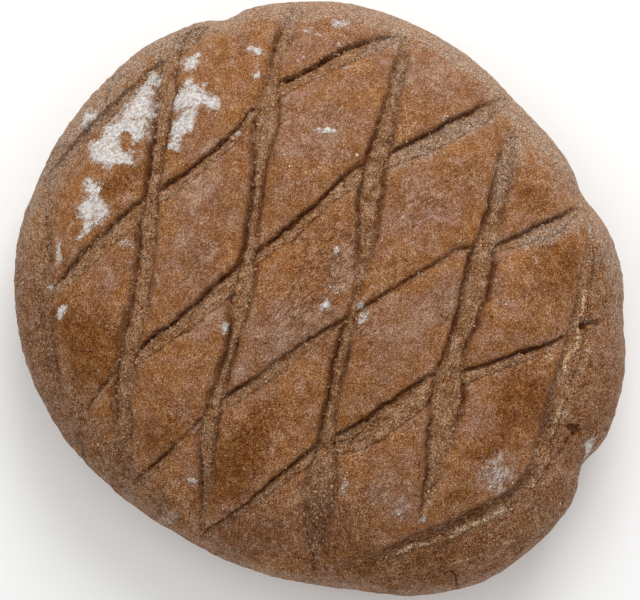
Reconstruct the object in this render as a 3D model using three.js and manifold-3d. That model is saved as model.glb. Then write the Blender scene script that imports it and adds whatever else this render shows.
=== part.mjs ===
/**
 * A round, hand-slashed rye bread loaf baked on the hearth.
 *
 * The loaf is one solid: a low dome on a flat base, with a rounded lower edge, an uneven
 * outline, puffed tiles between the slashes, and two families of slashes cut through the
 * crust. Units are millimetres, +Z is up, and the loaf rests on z = 0.
 */
import * as THREE from "three";
import { mergeVertices } from "three/addons/utils/BufferGeometryUtils.js";
import Module from "manifold-3d";

// --- body ------------------------------------------------------------------------------
const crownHeight = 74; // top of the dome above the base
const widestHeight = 27; // height where the loaf is widest
const footInset = 13; // how far the base stands inside the widest outline
const outlineRadius = 124.3; // plan radius before the swells and flats
const domeBreadth = 0.86; // below 1 the dome flattens towards its crown
const domeDrop = 0.98; // below 1 the shoulder stays high before it falls

/** Swells (+) and flats (-) of the plan outline: [direction deg, spread deg, mm]. */
const outlineLobes = [
  [-58, 18, 7], // lower right shoulder
  [-4, 4, -2], // dip between the right bulges
  [40, 23, -11], // upper right flat
  [122, 10, 2], // upper left swell
  [242, 33, -16], // lower left flat
  [-33, 3, -4], // notch in the rim beside the torn fold
  [-83, 9, -2.5], // flat at the lower edge
  [21, 3, -2.5], // nick beside a slash end
  [108, 3, -3], // nick beside a slash end
];

/** Slow waves of the crust: [wavelength mm, direction deg, phase deg, height mm]. */
const crustWaves = [
  [94, 20, 40, 0.7],
  [71, 105, 160, 0.6],
  [52, 62, 250, 0.45],
  [38, 150, 10, 0.3],
];

// --- slashes ---------------------------------------------------------------------------
const tileDip = 2.2; // how far the puffed tiles sink beside a slash
const tileDipReach = 9; // distance over which they sink
const slashStep = 10; // spacing of the sections along a slash
const slashDepthBase = 1.5; // depth of a hairline slash
const slashDepthPerWidth = 0.3; // further depth for each mm of width
const slashRunOut = 16; // length over which a slash rises to the crust at each end
const slashEndShare = 0.3; // share of the depth left at the very end
const slashHeadroom = 4; // how far a cutter stands above the crust
const slashFlare = 0.12; // widening of a cutter above the crust, as a share of its width

/** Sections across a slash: [side as a share of the width, depth as a share]. */
const openSection = [
  [-0.5, 0],
  [-0.36, 1],
  [0.3, 0.85],
  [0.5, 0],
];
const slantSection = [
  [-0.5, 0],
  [-0.32, 1],
  [0.12, 0.6],
  [0.5, 0],
];

/** Long slashes, top to bottom in plan: points of [x, y, width] about the crown. */
const longSlashes = [
  [[-107, 44, 5], [-108, 28, 5], [-107, 8, 6], [-108, -12, 8], [-106, -28, 8], [-102, -42, 4]],
  [[-57, 108, 6], [-61, 89, 10], [-63, 62, 8], [-65, 38, 7], [-67, 12, 8], [-70, -11, 10],
    [-75, -33, 9], [-76, -59, 8], [-75, -77, 3]],
  [[-9, 116, 6], [-15, 100, 7], [-19, 85, 5], [-21, 66, 10], [-24, 36, 6], [-27, 12, 6],
    [-30, -5, 10], [-34, -27, 5], [-42, -56, 8], [-44, -76, 5], [-46, -93, 2]],
  [[35, 103, 4], [32, 88, 6], [25, 58, 8], [20, 35, 11], [18, 18, 8], [14, -5, 4],
    [8, -28, 6], [3, -52, 6], [0, -78, 12], [-2, -96, 8], [-3, -108, 2]],
  [[77, 64, 5], [73, 47, 9], [69, 32, 8], [64, 15, 9], [61, 2, 12], [56, -15, 10],
    [51, -28, 8], [48, -44, 15], [46, -58, 12], [42, -75, 6], [38, -90, 2]],
];

/** Slanting slashes, lower left to upper right in plan. */
const slantSlashes = [
  [[-110, 46, 5], [-100, 56, 6], [-85, 71, 6], [-69, 86, 6], [-54, 101, 6], [-46, 110, 3]],
  [[-105, -3, 3], [-98, 3, 6], [-85, 15, 7], [-66, 31, 6], [-50, 42, 4], [-35, 55, 4],
    [-26, 67, 4], [-17, 76, 6], [-5, 83, 5], [8, 91, 7], [20, 98, 7], [34, 105, 2]],
  [[-89, -47, 2], [-79, -36, 3], [-66, -26, 5], [-50, -15, 6], [-35, -2, 8], [-24, 9, 4],
    [-11, 18, 5], [2, 30, 4], [15, 41, 6], [28, 48, 5], [48, 59, 7], [64, 70, 7], [76, 80, 2]],
  [[-70, -74, 2], [-53, -61, 2], [-38, -48, 4], [-19, -36, 4], [0, -22, 3], [20, -9, 2],
    [41, 4, 2], [54, 12, 2], [68, 14, 3], [84, 21, 5], [92, 25, 6], [103, 34, 2]],
  [[-46, -96, 2], [-28, -85, 3], [-11, -72, 4], [4, -63, 6], [19, -57, 10], [33, -47, 9],
    [44, -38, 6], [58, -35, 4], [75, -29, 4], [96, -19, 2], [110, -12, 2]],
];

/** The fold where the crust tore along the right rim, from below upwards in plan. */
const tornFold = [
  [9, -108, 3], [24, -103, 5], [37, -98, 6], [49, -93, 6], [60, -88, 6], [72, -82, 6],
  [80, -75, 7], [85, -66, 8], [87, -56, 8], [91, -44, 8], [96, -30, 8], [100, -14, 7],
  [103, -2, 6], [106, 12, 5], [108, 27, 3],
];

// --- mesh density ----------------------------------------------------------------------
const ballDetail = 14; // subdivision of the ball that becomes the crust
const topShare = 115; // degrees of the ball, from its pole, that become the dome
const sideShare = 32; // degrees below those that become the rounded lower wall

const crustColour = "#8b6346"; // toasted rye crust

/** Plan radius of the loaf in a direction given in radians. */
function planRadius(angle) {
  const degrees = THREE.MathUtils.radToDeg(angle);
  let radius = outlineRadius;
  for (const [centre, spread, height] of outlineLobes) {
    const away = THREE.MathUtils.euclideanModulo(degrees - centre + 180, 360) - 180;
    radius += height * Math.exp(-0.5 * (away / spread) ** 2);
  }
  return radius;
}

/** Height of the slow crust waves over a plan point. */
function waveHeight(x, y) {
  let height = 0;
  for (const [length, direction, phase, size] of crustWaves) {
    const turn = THREE.MathUtils.degToRad(direction);
    const along = (x * Math.cos(turn) + y * Math.sin(turn)) / length;
    height += size * Math.sin(2 * Math.PI * along + THREE.MathUtils.degToRad(phase));
  }
  return height;
}

/** Point of the smooth crust above a plan point that lies inside the outline. */
function domePoint(x, y) {
  const share = Math.min(Math.hypot(x, y) / planRadius(Math.atan2(y, x)), 1);
  const swing = Math.asin(share ** (1 / domeBreadth));
  const rise = (crownHeight - widestHeight) * Math.cos(swing) ** domeDrop;
  return new THREE.Vector3(x, y, widestHeight + rise + waveHeight(x, y) * Math.cos(swing));
}

/** Outward direction of the smooth crust at a point on the dome. */
function domeNormal(point) {
  const step = 0.5;
  const inward = 1 - step / Math.max(Math.hypot(point.x, point.y), 1);
  const here = domePoint(point.x * inward, point.y * inward);
  const east = domePoint(here.x + step, here.y).sub(domePoint(here.x - step, here.y));
  const north = domePoint(here.x, here.y + step).sub(domePoint(here.x, here.y - step));
  return east.cross(north).normalize();
}

/** The centre line of a slash, laid on the crust, with the width at each point. */
class SlashLine {
  constructor(controls, section) {
    const lifted = controls.map(([x, y]) => domePoint(x, y));
    this.curve = new THREE.CatmullRomCurve3(lifted, false, "centripetal");
    this.widths = controls.map(([, , width]) => width);
    this.controlCount = controls.length;
    this.section = section;
    this.length = this.curve.getLength();
    this.samples = this.curve.getPoints(6 * controls.length);
  }

  /** Width of the slash at a share t of its control points. */
  widthAt(t) {
    const place = t * (this.controlCount - 1);
    const left = Math.min(Math.floor(place), this.controlCount - 2);
    return THREE.MathUtils.lerp(this.widths[left], this.widths[left + 1], place - left);
  }

  /** Distance from a point to the sampled centre line. */
  distanceTo(point) {
    let nearest = Infinity;
    for (const sample of this.samples) {
      nearest = Math.min(nearest, sample.distanceTo(point));
    }
    return nearest;
  }
}

const slashLines = [
  ...longSlashes.map((controls) => new SlashLine(controls, openSection)),
  ...slantSlashes.map((controls) => new SlashLine(controls, slantSection)),
  new SlashLine(tornFold, slantSection),
];

/** How far the crust sinks beside the slashes at a point. */
function dipAt(point) {
  let nearest = Infinity;
  for (const line of slashLines) {
    nearest = Math.min(nearest, line.distanceTo(point));
  }
  return tileDip * Math.exp(-((nearest / tileDipReach) ** 2));
}

/** Point of the loaf for a direction on the starting ball. */
function crustPoint(direction) {
  const angle = Math.atan2(direction.y, direction.x);
  const fromPole = THREE.MathUtils.radToDeg(Math.acos(THREE.MathUtils.clamp(direction.z, -1, 1)));
  const radius = planRadius(angle);
  const place = (reach, height) =>
    new THREE.Vector3(reach * Math.cos(angle), reach * Math.sin(angle), height);

  if (fromPole <= topShare) {
    const swing = (Math.PI / 2) * (fromPole / topShare) ** (1 / domeBreadth);
    const reach = radius * Math.sin(swing) ** domeBreadth;
    const smooth = domePoint(reach * Math.cos(angle), reach * Math.sin(angle));
    const fade = Math.cos(swing) ** 0.5;
    return smooth.addScaledVector(domeNormal(smooth), -dipAt(smooth) * fade);
  }
  if (fromPole <= topShare + sideShare) {
    const swing = (Math.PI / 2) * ((fromPole - topShare) / sideShare);
    const reach = radius - footInset * (1 - Math.cos(swing));
    return place(reach, widestHeight * (1 - Math.sin(swing)));
  }
  const inward = (fromPole - topShare - sideShare) / (180 - topShare - sideShare);
  return place((radius - footInset) * (1 - inward), 0);
}

/** Manifold solid of a closed geometry. */
function toSolid(wasm, geometry) {
  const bare = geometry.clone();
  bare.deleteAttribute("normal");
  bare.deleteAttribute("uv");
  const merged = mergeVertices(bare, 1e-4);
  const mesh = new wasm.Mesh({
    numProp: 3,
    vertProperties: new Float32Array(merged.attributes.position.array),
    triVerts: new Uint32Array(merged.index.array),
  });
  return new wasm.Manifold(mesh);
}

/** Geometry of a manifold solid. */
function toGeometry(solid) {
  const mesh = solid.getMesh();
  const geometry = new THREE.BufferGeometry();
  geometry.setAttribute("position", new THREE.BufferAttribute(mesh.vertProperties, 3));
  geometry.setIndex(new THREE.BufferAttribute(mesh.triVerts, 1));
  geometry.computeVertexNormals();
  return geometry;
}

/** The uncut loaf: a ball pushed out to the crust. */
function crustGeometry() {
  const ball = new THREE.IcosahedronGeometry(1, ballDetail);
  const corners = ball.attributes.position;
  const direction = new THREE.Vector3();
  for (let i = 0; i < corners.count; i += 1) {
    direction.fromBufferAttribute(corners, i).normalize();
    const point = crustPoint(direction);
    corners.setXYZ(i, point.x, point.y, point.z);
  }
  return ball;
}

/** Closed ring of points across a slash at a share t of its length. */
function slashRing(line, t) {
  const centre = line.curve.getPoint(t);
  const normal = domeNormal(centre);
  const along = line.curve.getTangent(t);
  const side = new THREE.Vector3().crossVectors(along, normal).normalize();
  const width = line.widthAt(t);
  const fromEnd = Math.min(t, 1 - t) * line.length;
  const rise = THREE.MathUtils.smoothstep(fromEnd, 0, slashRunOut);
  const depthShare = THREE.MathUtils.lerp(slashEndShare, 1, rise);
  const depth = depthShare * (slashDepthBase + slashDepthPerWidth * width);
  const flare = 0.5 + slashFlare;
  const corners = [[-flare, null], ...line.section, [flare, null]];
  return corners.map(([across, down]) => {
    const level = down === null ? slashHeadroom : -tileDip * depthShare - down * depth;
    return centre.clone().addScaledVector(side, across * width).addScaledVector(normal, level);
  });
}

/** The wedge that cuts one slash. */
function slashGeometry(line) {
  const steps = Math.round(line.length / slashStep);
  const rings = [];
  for (let i = 0; i <= steps; i += 1) {
    rings.push(slashRing(line, i / steps));
  }
  const across = rings[0].length;
  const index = [];
  for (let i = 0; i < steps; i += 1) {
    for (let k = 0; k < across; k += 1) {
      const a = i * across + k;
      const b = i * across + ((k + 1) % across);
      index.push(a, a + across, b, b, a + across, b + across);
    }
  }
  const last = steps * across;
  for (let k = 1; k < across - 1; k += 1) {
    index.push(0, k, k + 1);
    index.push(last, last + k + 1, last + k);
  }
  const geometry = new THREE.BufferGeometry();
  const flat = rings.flat().flatMap((point) => point.toArray());
  geometry.setAttribute("position", new THREE.Float32BufferAttribute(flat, 3));
  geometry.setIndex(index);
  return geometry;
}

/** The whole loaf, slashed, with the middle of its footprint at the origin. */
function loafMesh(wasm) {
  let solid = toSolid(wasm, crustGeometry());
  for (const line of slashLines) {
    solid = solid.subtract(toSolid(wasm, slashGeometry(line)));
  }
  const geometry = toGeometry(solid);
  geometry.computeBoundingBox();
  const middle = geometry.boundingBox.getCenter(new THREE.Vector3());
  geometry.translate(-middle.x, -middle.y, 0);
  const material = new THREE.MeshStandardMaterial({
    color: crustColour,
    roughness: 0.85,
    metalness: 0,
  });
  const mesh = new THREE.Mesh(geometry, material);
  mesh.name = "loaf";
  return mesh;
}

const wasm = await Module();
wasm.setup();

const group = new THREE.Group();
group.add(loafMesh(wasm));

export default group;
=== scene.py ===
"""A round, hand-slashed rye loaf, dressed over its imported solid.

The crust is one mesh: a low dome that is pushed in along two families of slashes, torn
at the right-hand edge, and roughened where the crumb shows. Loose flour and crumbs lie
on it as small grains of their own. Sizes are in millimetres about the crown, and turn
to metres when a mesh is finished.
"""

import logging
import math
from dataclasses import dataclass, field
from enum import Enum
from typing import Any

import bmesh
import bpy
import numpy as np
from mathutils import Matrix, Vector, noise


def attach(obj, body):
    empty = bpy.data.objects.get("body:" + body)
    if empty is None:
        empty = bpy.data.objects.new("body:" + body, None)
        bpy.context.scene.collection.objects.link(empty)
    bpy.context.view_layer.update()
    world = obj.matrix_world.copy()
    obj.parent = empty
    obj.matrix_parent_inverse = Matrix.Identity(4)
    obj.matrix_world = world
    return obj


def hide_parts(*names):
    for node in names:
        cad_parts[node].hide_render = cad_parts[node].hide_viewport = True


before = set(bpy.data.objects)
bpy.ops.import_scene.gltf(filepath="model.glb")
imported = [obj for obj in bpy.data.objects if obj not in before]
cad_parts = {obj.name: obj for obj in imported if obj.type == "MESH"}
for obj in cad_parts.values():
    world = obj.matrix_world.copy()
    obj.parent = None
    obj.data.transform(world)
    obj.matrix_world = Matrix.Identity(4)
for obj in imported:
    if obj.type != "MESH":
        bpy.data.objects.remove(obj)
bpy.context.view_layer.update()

MM = 0.001
BODY = "root"

# How much weaker, and how many times finer, each further octave of noise is.
FRACTAL_FADE = 0.9
FRACTAL_STEP = 2.1
# Sets the noises along two lines apart when their seeds are close.
SEED_SKEW = 0.37
# Stand for "far from every lip or seam" and "far from every slash", in millimetres.
FAR = 20.0
NOWHERE = 99.0
# Points measured against a slash at once, which keeps the arrays small.
POINTS_AT_ONCE = 6000

log = logging.getLogger("rye_loaf")


# --- small helpers ----------------------------------------------------------------------


def linear(hex_colour: str) -> tuple[float, float, float, float]:
    """Turns an sRGB hex colour to linear light.

    Args:
        hex_colour: six hex digits after a hash sign.

    Returns:
        Red, green, blue and an alpha of one.
    """
    values = [int(hex_colour[i : i + 2], 16) / 255 for i in (1, 3, 5)]
    red, green, blue = (
        v / 12.92 if v <= 0.04045 else ((v + 0.055) / 1.055) ** 2.4 for v in values
    )
    return (red, green, blue, 1.0)


def per_mm(size: float) -> float:
    """Texture scale whose features are about this many millimetres across."""
    return 1.0 / (size * MM)


def smoothstep(low: float, high: float, value: np.ndarray) -> np.ndarray:
    """Eases from 0 at low to 1 at high."""
    share = np.clip((value - low) / (high - low), 0.0, 1.0)
    return share * share * (3.0 - 2.0 * share)


def bell(offset: np.ndarray, spread: float) -> np.ndarray:
    """Bell curve: 1 at no offset, and about a third at one spread."""
    return np.exp(-((offset / spread) ** 2))


def unit(rows: np.ndarray) -> np.ndarray:
    """Scales rows of x, y, z to a length of one."""
    return rows / np.linalg.norm(rows, axis=1, keepdims=True)


def fractal(rows: np.ndarray, octaves: int) -> np.ndarray:
    """Fractal noise of about -1 to 1 at each row of x, y, z."""
    fade, step = FRACTAL_FADE, FRACTAL_STEP
    return np.array([noise.fractal(row, fade, step, octaves) for row in rows.tolist()])


def wobble(along: np.ndarray, size: float, seed: float) -> np.ndarray:
    """Noise along a line, with lumps of this length in millimetres."""
    skew = SEED_SKEW * seed
    return np.array([noise.noise((s / size, seed, skew)) for s in along.tolist()])


def rows_near(points: np.ndarray, line: np.ndarray, reach: float) -> np.ndarray:
    """Numbers of the points that lie in a line's box, widened by a reach.

    Args:
        points: rows of x, y, z in millimetres.
        line: the line's samples.
        reach: how far past the box a point may lie.

    Returns:
        Which rows of the points lie there.
    """
    low = line.min(0) - reach
    high = line.max(0) + reach
    return np.nonzero(((points > low) & (points < high)).all(1))[0]


def nearest(points: np.ndarray, line: np.ndarray) -> np.ndarray:
    """Number of the line's nearest sample for each point."""
    away = points[:, None, :] - line[None, :, :]
    return np.argmin((away**2).sum(2), axis=1)


def smooth_path(controls: np.ndarray, step: float) -> np.ndarray:
    """Runs a Catmull-Rom curve through rows of numbers.

    Args:
        controls: the rows, whose first two columns are a plan position.
        step: spacing of the samples in millimetres.

    Returns:
        The sampled rows.
    """
    padded = np.vstack([2 * controls[0] - controls[1], controls, 2 * controls[-1] - controls[-2]])
    rows = []
    for i in range(1, len(padded) - 2):
        before, start, end, after = padded[i - 1 : i + 3]
        count = max(2, int(np.ceil(np.linalg.norm((end - start)[:2]) / step)))
        for t in np.arange(count) / count:
            rows.append(
                0.5
                * (
                    2 * start
                    + (end - before) * t
                    + (2 * before - 5 * start + 4 * end - after) * t**2
                    + (3 * start - before - 3 * end + after) * t**3
                )
            )
    rows.append(controls[-1])
    return np.array(rows)


@dataclass(frozen=True)
class Nodes:
    """One material's node tree."""

    tree: bpy.types.NodeTree

    def add(
        self, kind: str, inputs: dict[Any, Any] | None = None, **settings: Any
    ) -> bpy.types.NodeSocket | None:
        """Adds a node with its settings, values and links.

        Args:
            kind: Blender's name for the node.
            inputs: a value, or a socket to link from, for each named or numbered input.
            **settings: the node's own properties.

        Returns:
            The node's first output that is in use; its node holds the others.
        """
        node = self.tree.nodes.new(kind)
        for name, value in settings.items():
            setattr(node, name, value)
        for key, value in (inputs or {}).items():
            if isinstance(value, bpy.types.NodeSocket):
                self.tree.links.new(value, node.inputs[key])
            else:
                node.inputs[key].default_value = value
        return next((out for out in node.outputs if out.enabled), None)


def set_attribute(mesh: bpy.types.Mesh, name: str, values: np.ndarray) -> None:
    """Stores one number for each vertex of a mesh."""
    layer = mesh.attributes.new(name, "FLOAT", "POINT")
    layer.data.foreach_set("value", values.astype(np.float32))


def place_verts(bm: bmesh.types.BMesh, points: np.ndarray) -> None:
    """Moves every vertex to its point."""
    for vert, point in zip(bm.verts, points.tolist()):
        vert.co = point


def to_piece(
    bm: bmesh.types.BMesh, name: str, material: bpy.types.Material
) -> bpy.types.Object:
    """Turns a finished bmesh to an object of the scene.

    Args:
        bm: the bmesh, in metres, which is freed.
        name: name of the object and its mesh.
        material: what it is made of.

    Returns:
        The new object.
    """
    mesh = bpy.data.meshes.new(name)
    bm.to_mesh(mesh)
    bm.free()
    mesh.materials.append(material)
    piece = bpy.data.objects.new(name, mesh)
    bpy.context.scene.collection.objects.link(piece)
    return piece


# --- the body of the loaf ---------------------------------------------------------------


@dataclass(frozen=True)
class LoafBody:
    """The dome, its outline and its flat base, in millimetres about the crown.

    A lobe swells or dents the outline: its direction and spread in degrees, and its
    height. A wave of the crust has a length, a direction, a phase and a height.
    """

    crown_height: float = 74.0
    widest_height: float = 27.0
    foot_inset: float = 13.0
    outline_radius: float = 124.3
    dome_breadth: float = 0.86
    dome_drop: float = 0.98
    top_share: float = 115.0
    side_share: float = 32.0
    probe: float = 0.5
    lobes: tuple[tuple[float, float, float], ...] = (
        (-58, 18, 7),
        (-4, 4, -2),
        (40, 23, -11),
        (122, 10, 2),
        (242, 33, -16),
        (-33, 3, -4),
        (-83, 9, -2.5),
        (21, 3, -2.5),
        (108, 3, -3),
    )
    waves: tuple[tuple[float, float, float, float], ...] = (
        (94, 20, 40, 0.7),
        (71, 105, 160, 0.6),
        (52, 62, 250, 0.45),
        (38, 150, 10, 0.3),
    )

    def plan_radius(self, angle: np.ndarray) -> np.ndarray:
        """Radius of the outline in each direction, given in radians.

        Args:
            angle: directions about the crown.

        Returns:
            Radii in millimetres.
        """
        degrees = np.degrees(angle)
        radius = np.full_like(degrees, self.outline_radius)
        for centre, spread, height in self.lobes:
            away = (degrees - centre + 180) % 360 - 180
            radius = radius + height * np.exp(-0.5 * (away / spread) ** 2)
        return radius

    def middle(self) -> tuple[float, float]:
        """Middle of the outline's box, which the finished loaf has at its origin.

        Returns:
            Its x and y in millimetres.
        """
        angle = np.radians(np.arange(0, 360, 1.0))
        radius = self.plan_radius(angle)
        x = radius * np.cos(angle)
        y = radius * np.sin(angle)
        return (x.max() + x.min()) / 2, (y.max() + y.min()) / 2

    def wave_height(self, x: np.ndarray, y: np.ndarray) -> np.ndarray:
        """Height of the slow crust waves over plan points.

        Args:
            x: plan places to the right.
            y: plan places away from the front.

        Returns:
            Heights in millimetres, above or below the plain dome.
        """
        height = np.zeros_like(x)
        for length, direction, phase, size in self.waves:
            turn = math.radians(direction)
            along = (x * math.cos(turn) + y * math.sin(turn)) / length
            height = height + size * np.sin(2 * np.pi * along + math.radians(phase))
        return height

    def dome(self, x: np.ndarray, y: np.ndarray) -> np.ndarray:
        """Points of the smooth crust above plan points inside the outline.

        Args:
            x: plan places to the right.
            y: plan places away from the front.

        Returns:
            Rows of x, y, z.
        """
        share = np.minimum(np.hypot(x, y) / self.plan_radius(np.arctan2(y, x)), 1.0)
        swing = np.arcsin(share ** (1 / self.dome_breadth))
        level = np.cos(swing)
        rise = (self.crown_height - self.widest_height) * level**self.dome_drop
        return np.stack([x, y, self.widest_height + rise + self.wave_height(x, y) * level], -1)

    def dome_normal(self, points: np.ndarray) -> np.ndarray:
        """Outward directions of the smooth crust at points on the dome.

        Args:
            points: rows of x, y, z on the dome.

        Returns:
            Rows of length one.
        """
        step = self.probe
        reach = np.maximum(np.hypot(points[:, 0], points[:, 1]), 1.0)
        x = points[:, 0] * (1 - step / reach)
        y = points[:, 1] * (1 - step / reach)
        east = self.dome(x + step, y) - self.dome(x - step, y)
        north = self.dome(x, y + step) - self.dome(x, y - step)
        return unit(np.cross(east, north))

    def lift(self, height: np.ndarray) -> np.ndarray:
        """Share of the way from the loaf's widest height up to its crown."""
        rise = self.crown_height - self.widest_height
        return np.clip((height - self.widest_height) / rise, 0, 1)

    def wall(self, angle: np.ndarray, height: np.ndarray) -> np.ndarray:
        """Points of the wall at directions in radians and heights up to the shoulder.

        Args:
            angle: directions about the crown.
            height: heights in millimetres.

        Returns:
            Rows of x, y, z.
        """
        drop = np.clip((self.widest_height - height) / self.widest_height, 0, 1)
        inset = self.foot_inset * (1 - np.sqrt(1 - drop**2))
        level = self.lift(height) ** (1 / self.dome_drop)
        share = np.sqrt(1 - level**2) ** self.dome_breadth
        reach = (self.plan_radius(angle) - inset) * share
        return np.stack([reach * np.cos(angle), reach * np.sin(angle), height], -1)

    def wrap(self, ball: np.ndarray) -> np.ndarray:
        """Moves the points of a ball of radius one out to the smooth loaf.

        Args:
            ball: rows of x, y, z on the ball.

        Returns:
            The same points on the dome, the side wall or the base.
        """
        angle = np.arctan2(ball[:, 1], ball[:, 0])
        from_pole = np.degrees(np.arccos(np.clip(ball[:, 2], -1, 1)))
        radius = self.plan_radius(angle)
        swing = np.pi / 2 * np.clip(from_pole / self.top_share, 0, 1) ** (1 / self.dome_breadth)
        reach = radius * np.sin(swing) ** self.dome_breadth
        top = self.dome(reach * np.cos(angle), reach * np.sin(angle))
        turn = np.pi / 2 * np.clip((from_pole - self.top_share) / self.side_share, 0, 1)
        foot = 180 - self.top_share - self.side_share
        inward = np.clip((from_pole - self.top_share - self.side_share) / foot, 0, 1)
        low = (radius - self.foot_inset * (1 - np.cos(turn))) * (1 - inward)
        height = self.widest_height * (1 - np.sin(turn))
        side = np.stack([low * np.cos(angle), low * np.sin(angle), height], -1)
        return np.where((from_pole <= self.top_share)[:, None], top, side)


# --- slashes ----------------------------------------------------------------------------


class Cut(Enum):
    """How a slash opened in the oven."""

    LONG = "long"
    SLANT = "slant"
    TORN = "torn"


@dataclass(frozen=True)
class Crease:
    """Crease beside a lip: how far inside it lies, its spread and its share of the depth."""

    inside: float
    spread: float
    share: float

    def depth(self, within: np.ndarray, strength: np.ndarray) -> np.ndarray:
        """Depth share at points this many millimetres within the lip."""
        return self.share * strength * bell(within - self.inside, self.spread)


@dataclass(frozen=True)
class CutShape:
    """Section across a slash: places from -1, the shaded lip, to 1, and depth shares.

    The lip's height is in millimetres, and crumb says how fully the open crumb shows.
    """

    places: tuple[float, ...]
    shares: tuple[float, ...]
    shaded: Crease
    lit: Crease
    base_depth: float
    depth_per_width: float
    lip: float
    crumb: float = 1.0

    def share(self, place: np.ndarray) -> np.ndarray:
        """Depth share of the floor at each place across the slash."""
        return np.interp(place, self.places, self.shares, left=0.0, right=0.0)


SHAPES = {
    Cut.LONG: CutShape(
        places=(-1.35, -1.1, -0.92, -0.7, 0.0, 0.7, 0.92, 1.1, 1.35),
        shares=(0.0, 0.1, 0.4, 0.6, 0.46, 0.58, 0.4, 0.1, 0.0),
        shaded=Crease(0.9, 0.85, 0.5),
        lit=Crease(0.8, 0.8, 0.42),
        base_depth=1.7,
        depth_per_width=0.24,
        lip=0.3,
    ),
    Cut.SLANT: CutShape(
        places=(-1.15, -1.03, -0.92, -0.7, 0.1, 0.75, 1.0, 1.3),
        shares=(0.0, 0.1, 0.42, 0.56, 0.42, 0.32, 0.12, 0.0),
        shaded=Crease(0.7, 0.6, 0.42),
        lit=Crease(0.6, 0.7, 0.1),
        base_depth=1.4,
        depth_per_width=0.22,
        lip=0.45,
    ),
    Cut.TORN: CutShape(
        places=(-1.4, -1.0, -0.6, -0.1, 0.5, 1.0, 1.4),
        shares=(0.0, 0.2, 0.7, 0.8, 0.45, 0.12, 0.0),
        shaded=Crease(2.0, 1.8, 0.5),
        lit=Crease(1.0, 1.0, 0.1),
        base_depth=2.0,
        depth_per_width=0.16,
        lip=0.3,
        crumb=0.5,
    ),
}


@dataclass
class Lips:
    """Millimetres inside the two lips of the slash a point is deepest in, and their painted shade.
    """

    shaded: np.ndarray
    lit: np.ndarray
    shaded_gloom: np.ndarray
    lit_gloom: np.ndarray
    along: np.ndarray

    @classmethod
    def empty(cls, count: int) -> "Lips":
        """Lips that are far from every point.

        Args:
            count: how many points there are.

        Returns:
            The lips.
        """
        far = np.full(count, -FAR)
        zero = np.zeros(count)
        return cls(far.copy(), far.copy(), zero.copy(), zero.copy(), zero.copy())

    def keep(self, rows: np.ndarray, new: "Lips") -> None:
        """Takes a slash's lips at the points that lie deeper in it.

        Args:
            rows: which points the slash was measured at.
            new: its lips there.
        """
        deeper = np.minimum(new.shaded, new.lit) > np.minimum(self.shaded[rows], self.lit[rows])
        for name in ("shaded", "lit", "shaded_gloom", "lit_gloom", "along"):
            held = getattr(self, name)
            held[rows] = np.where(deeper, getattr(new, name), held[rows])


@dataclass
class Reading:
    """What the slashes do at each point of the crust."""

    depth: np.ndarray
    edge: np.ndarray
    crest: np.ndarray
    rough: np.ndarray
    streak: np.ndarray
    long: Lips
    slant: Lips

    @classmethod
    def empty(cls, count: int) -> "Reading":
        """A reading for this many points, before any slash is measured.

        Args:
            count: how many points there are.

        Returns:
            The reading.
        """
        depth, crest, rough, streak = np.zeros((4, count))
        edge = np.full(count, NOWHERE)
        return cls(depth, edge, crest, rough, streak, Lips.empty(count), Lips.empty(count))


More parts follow.
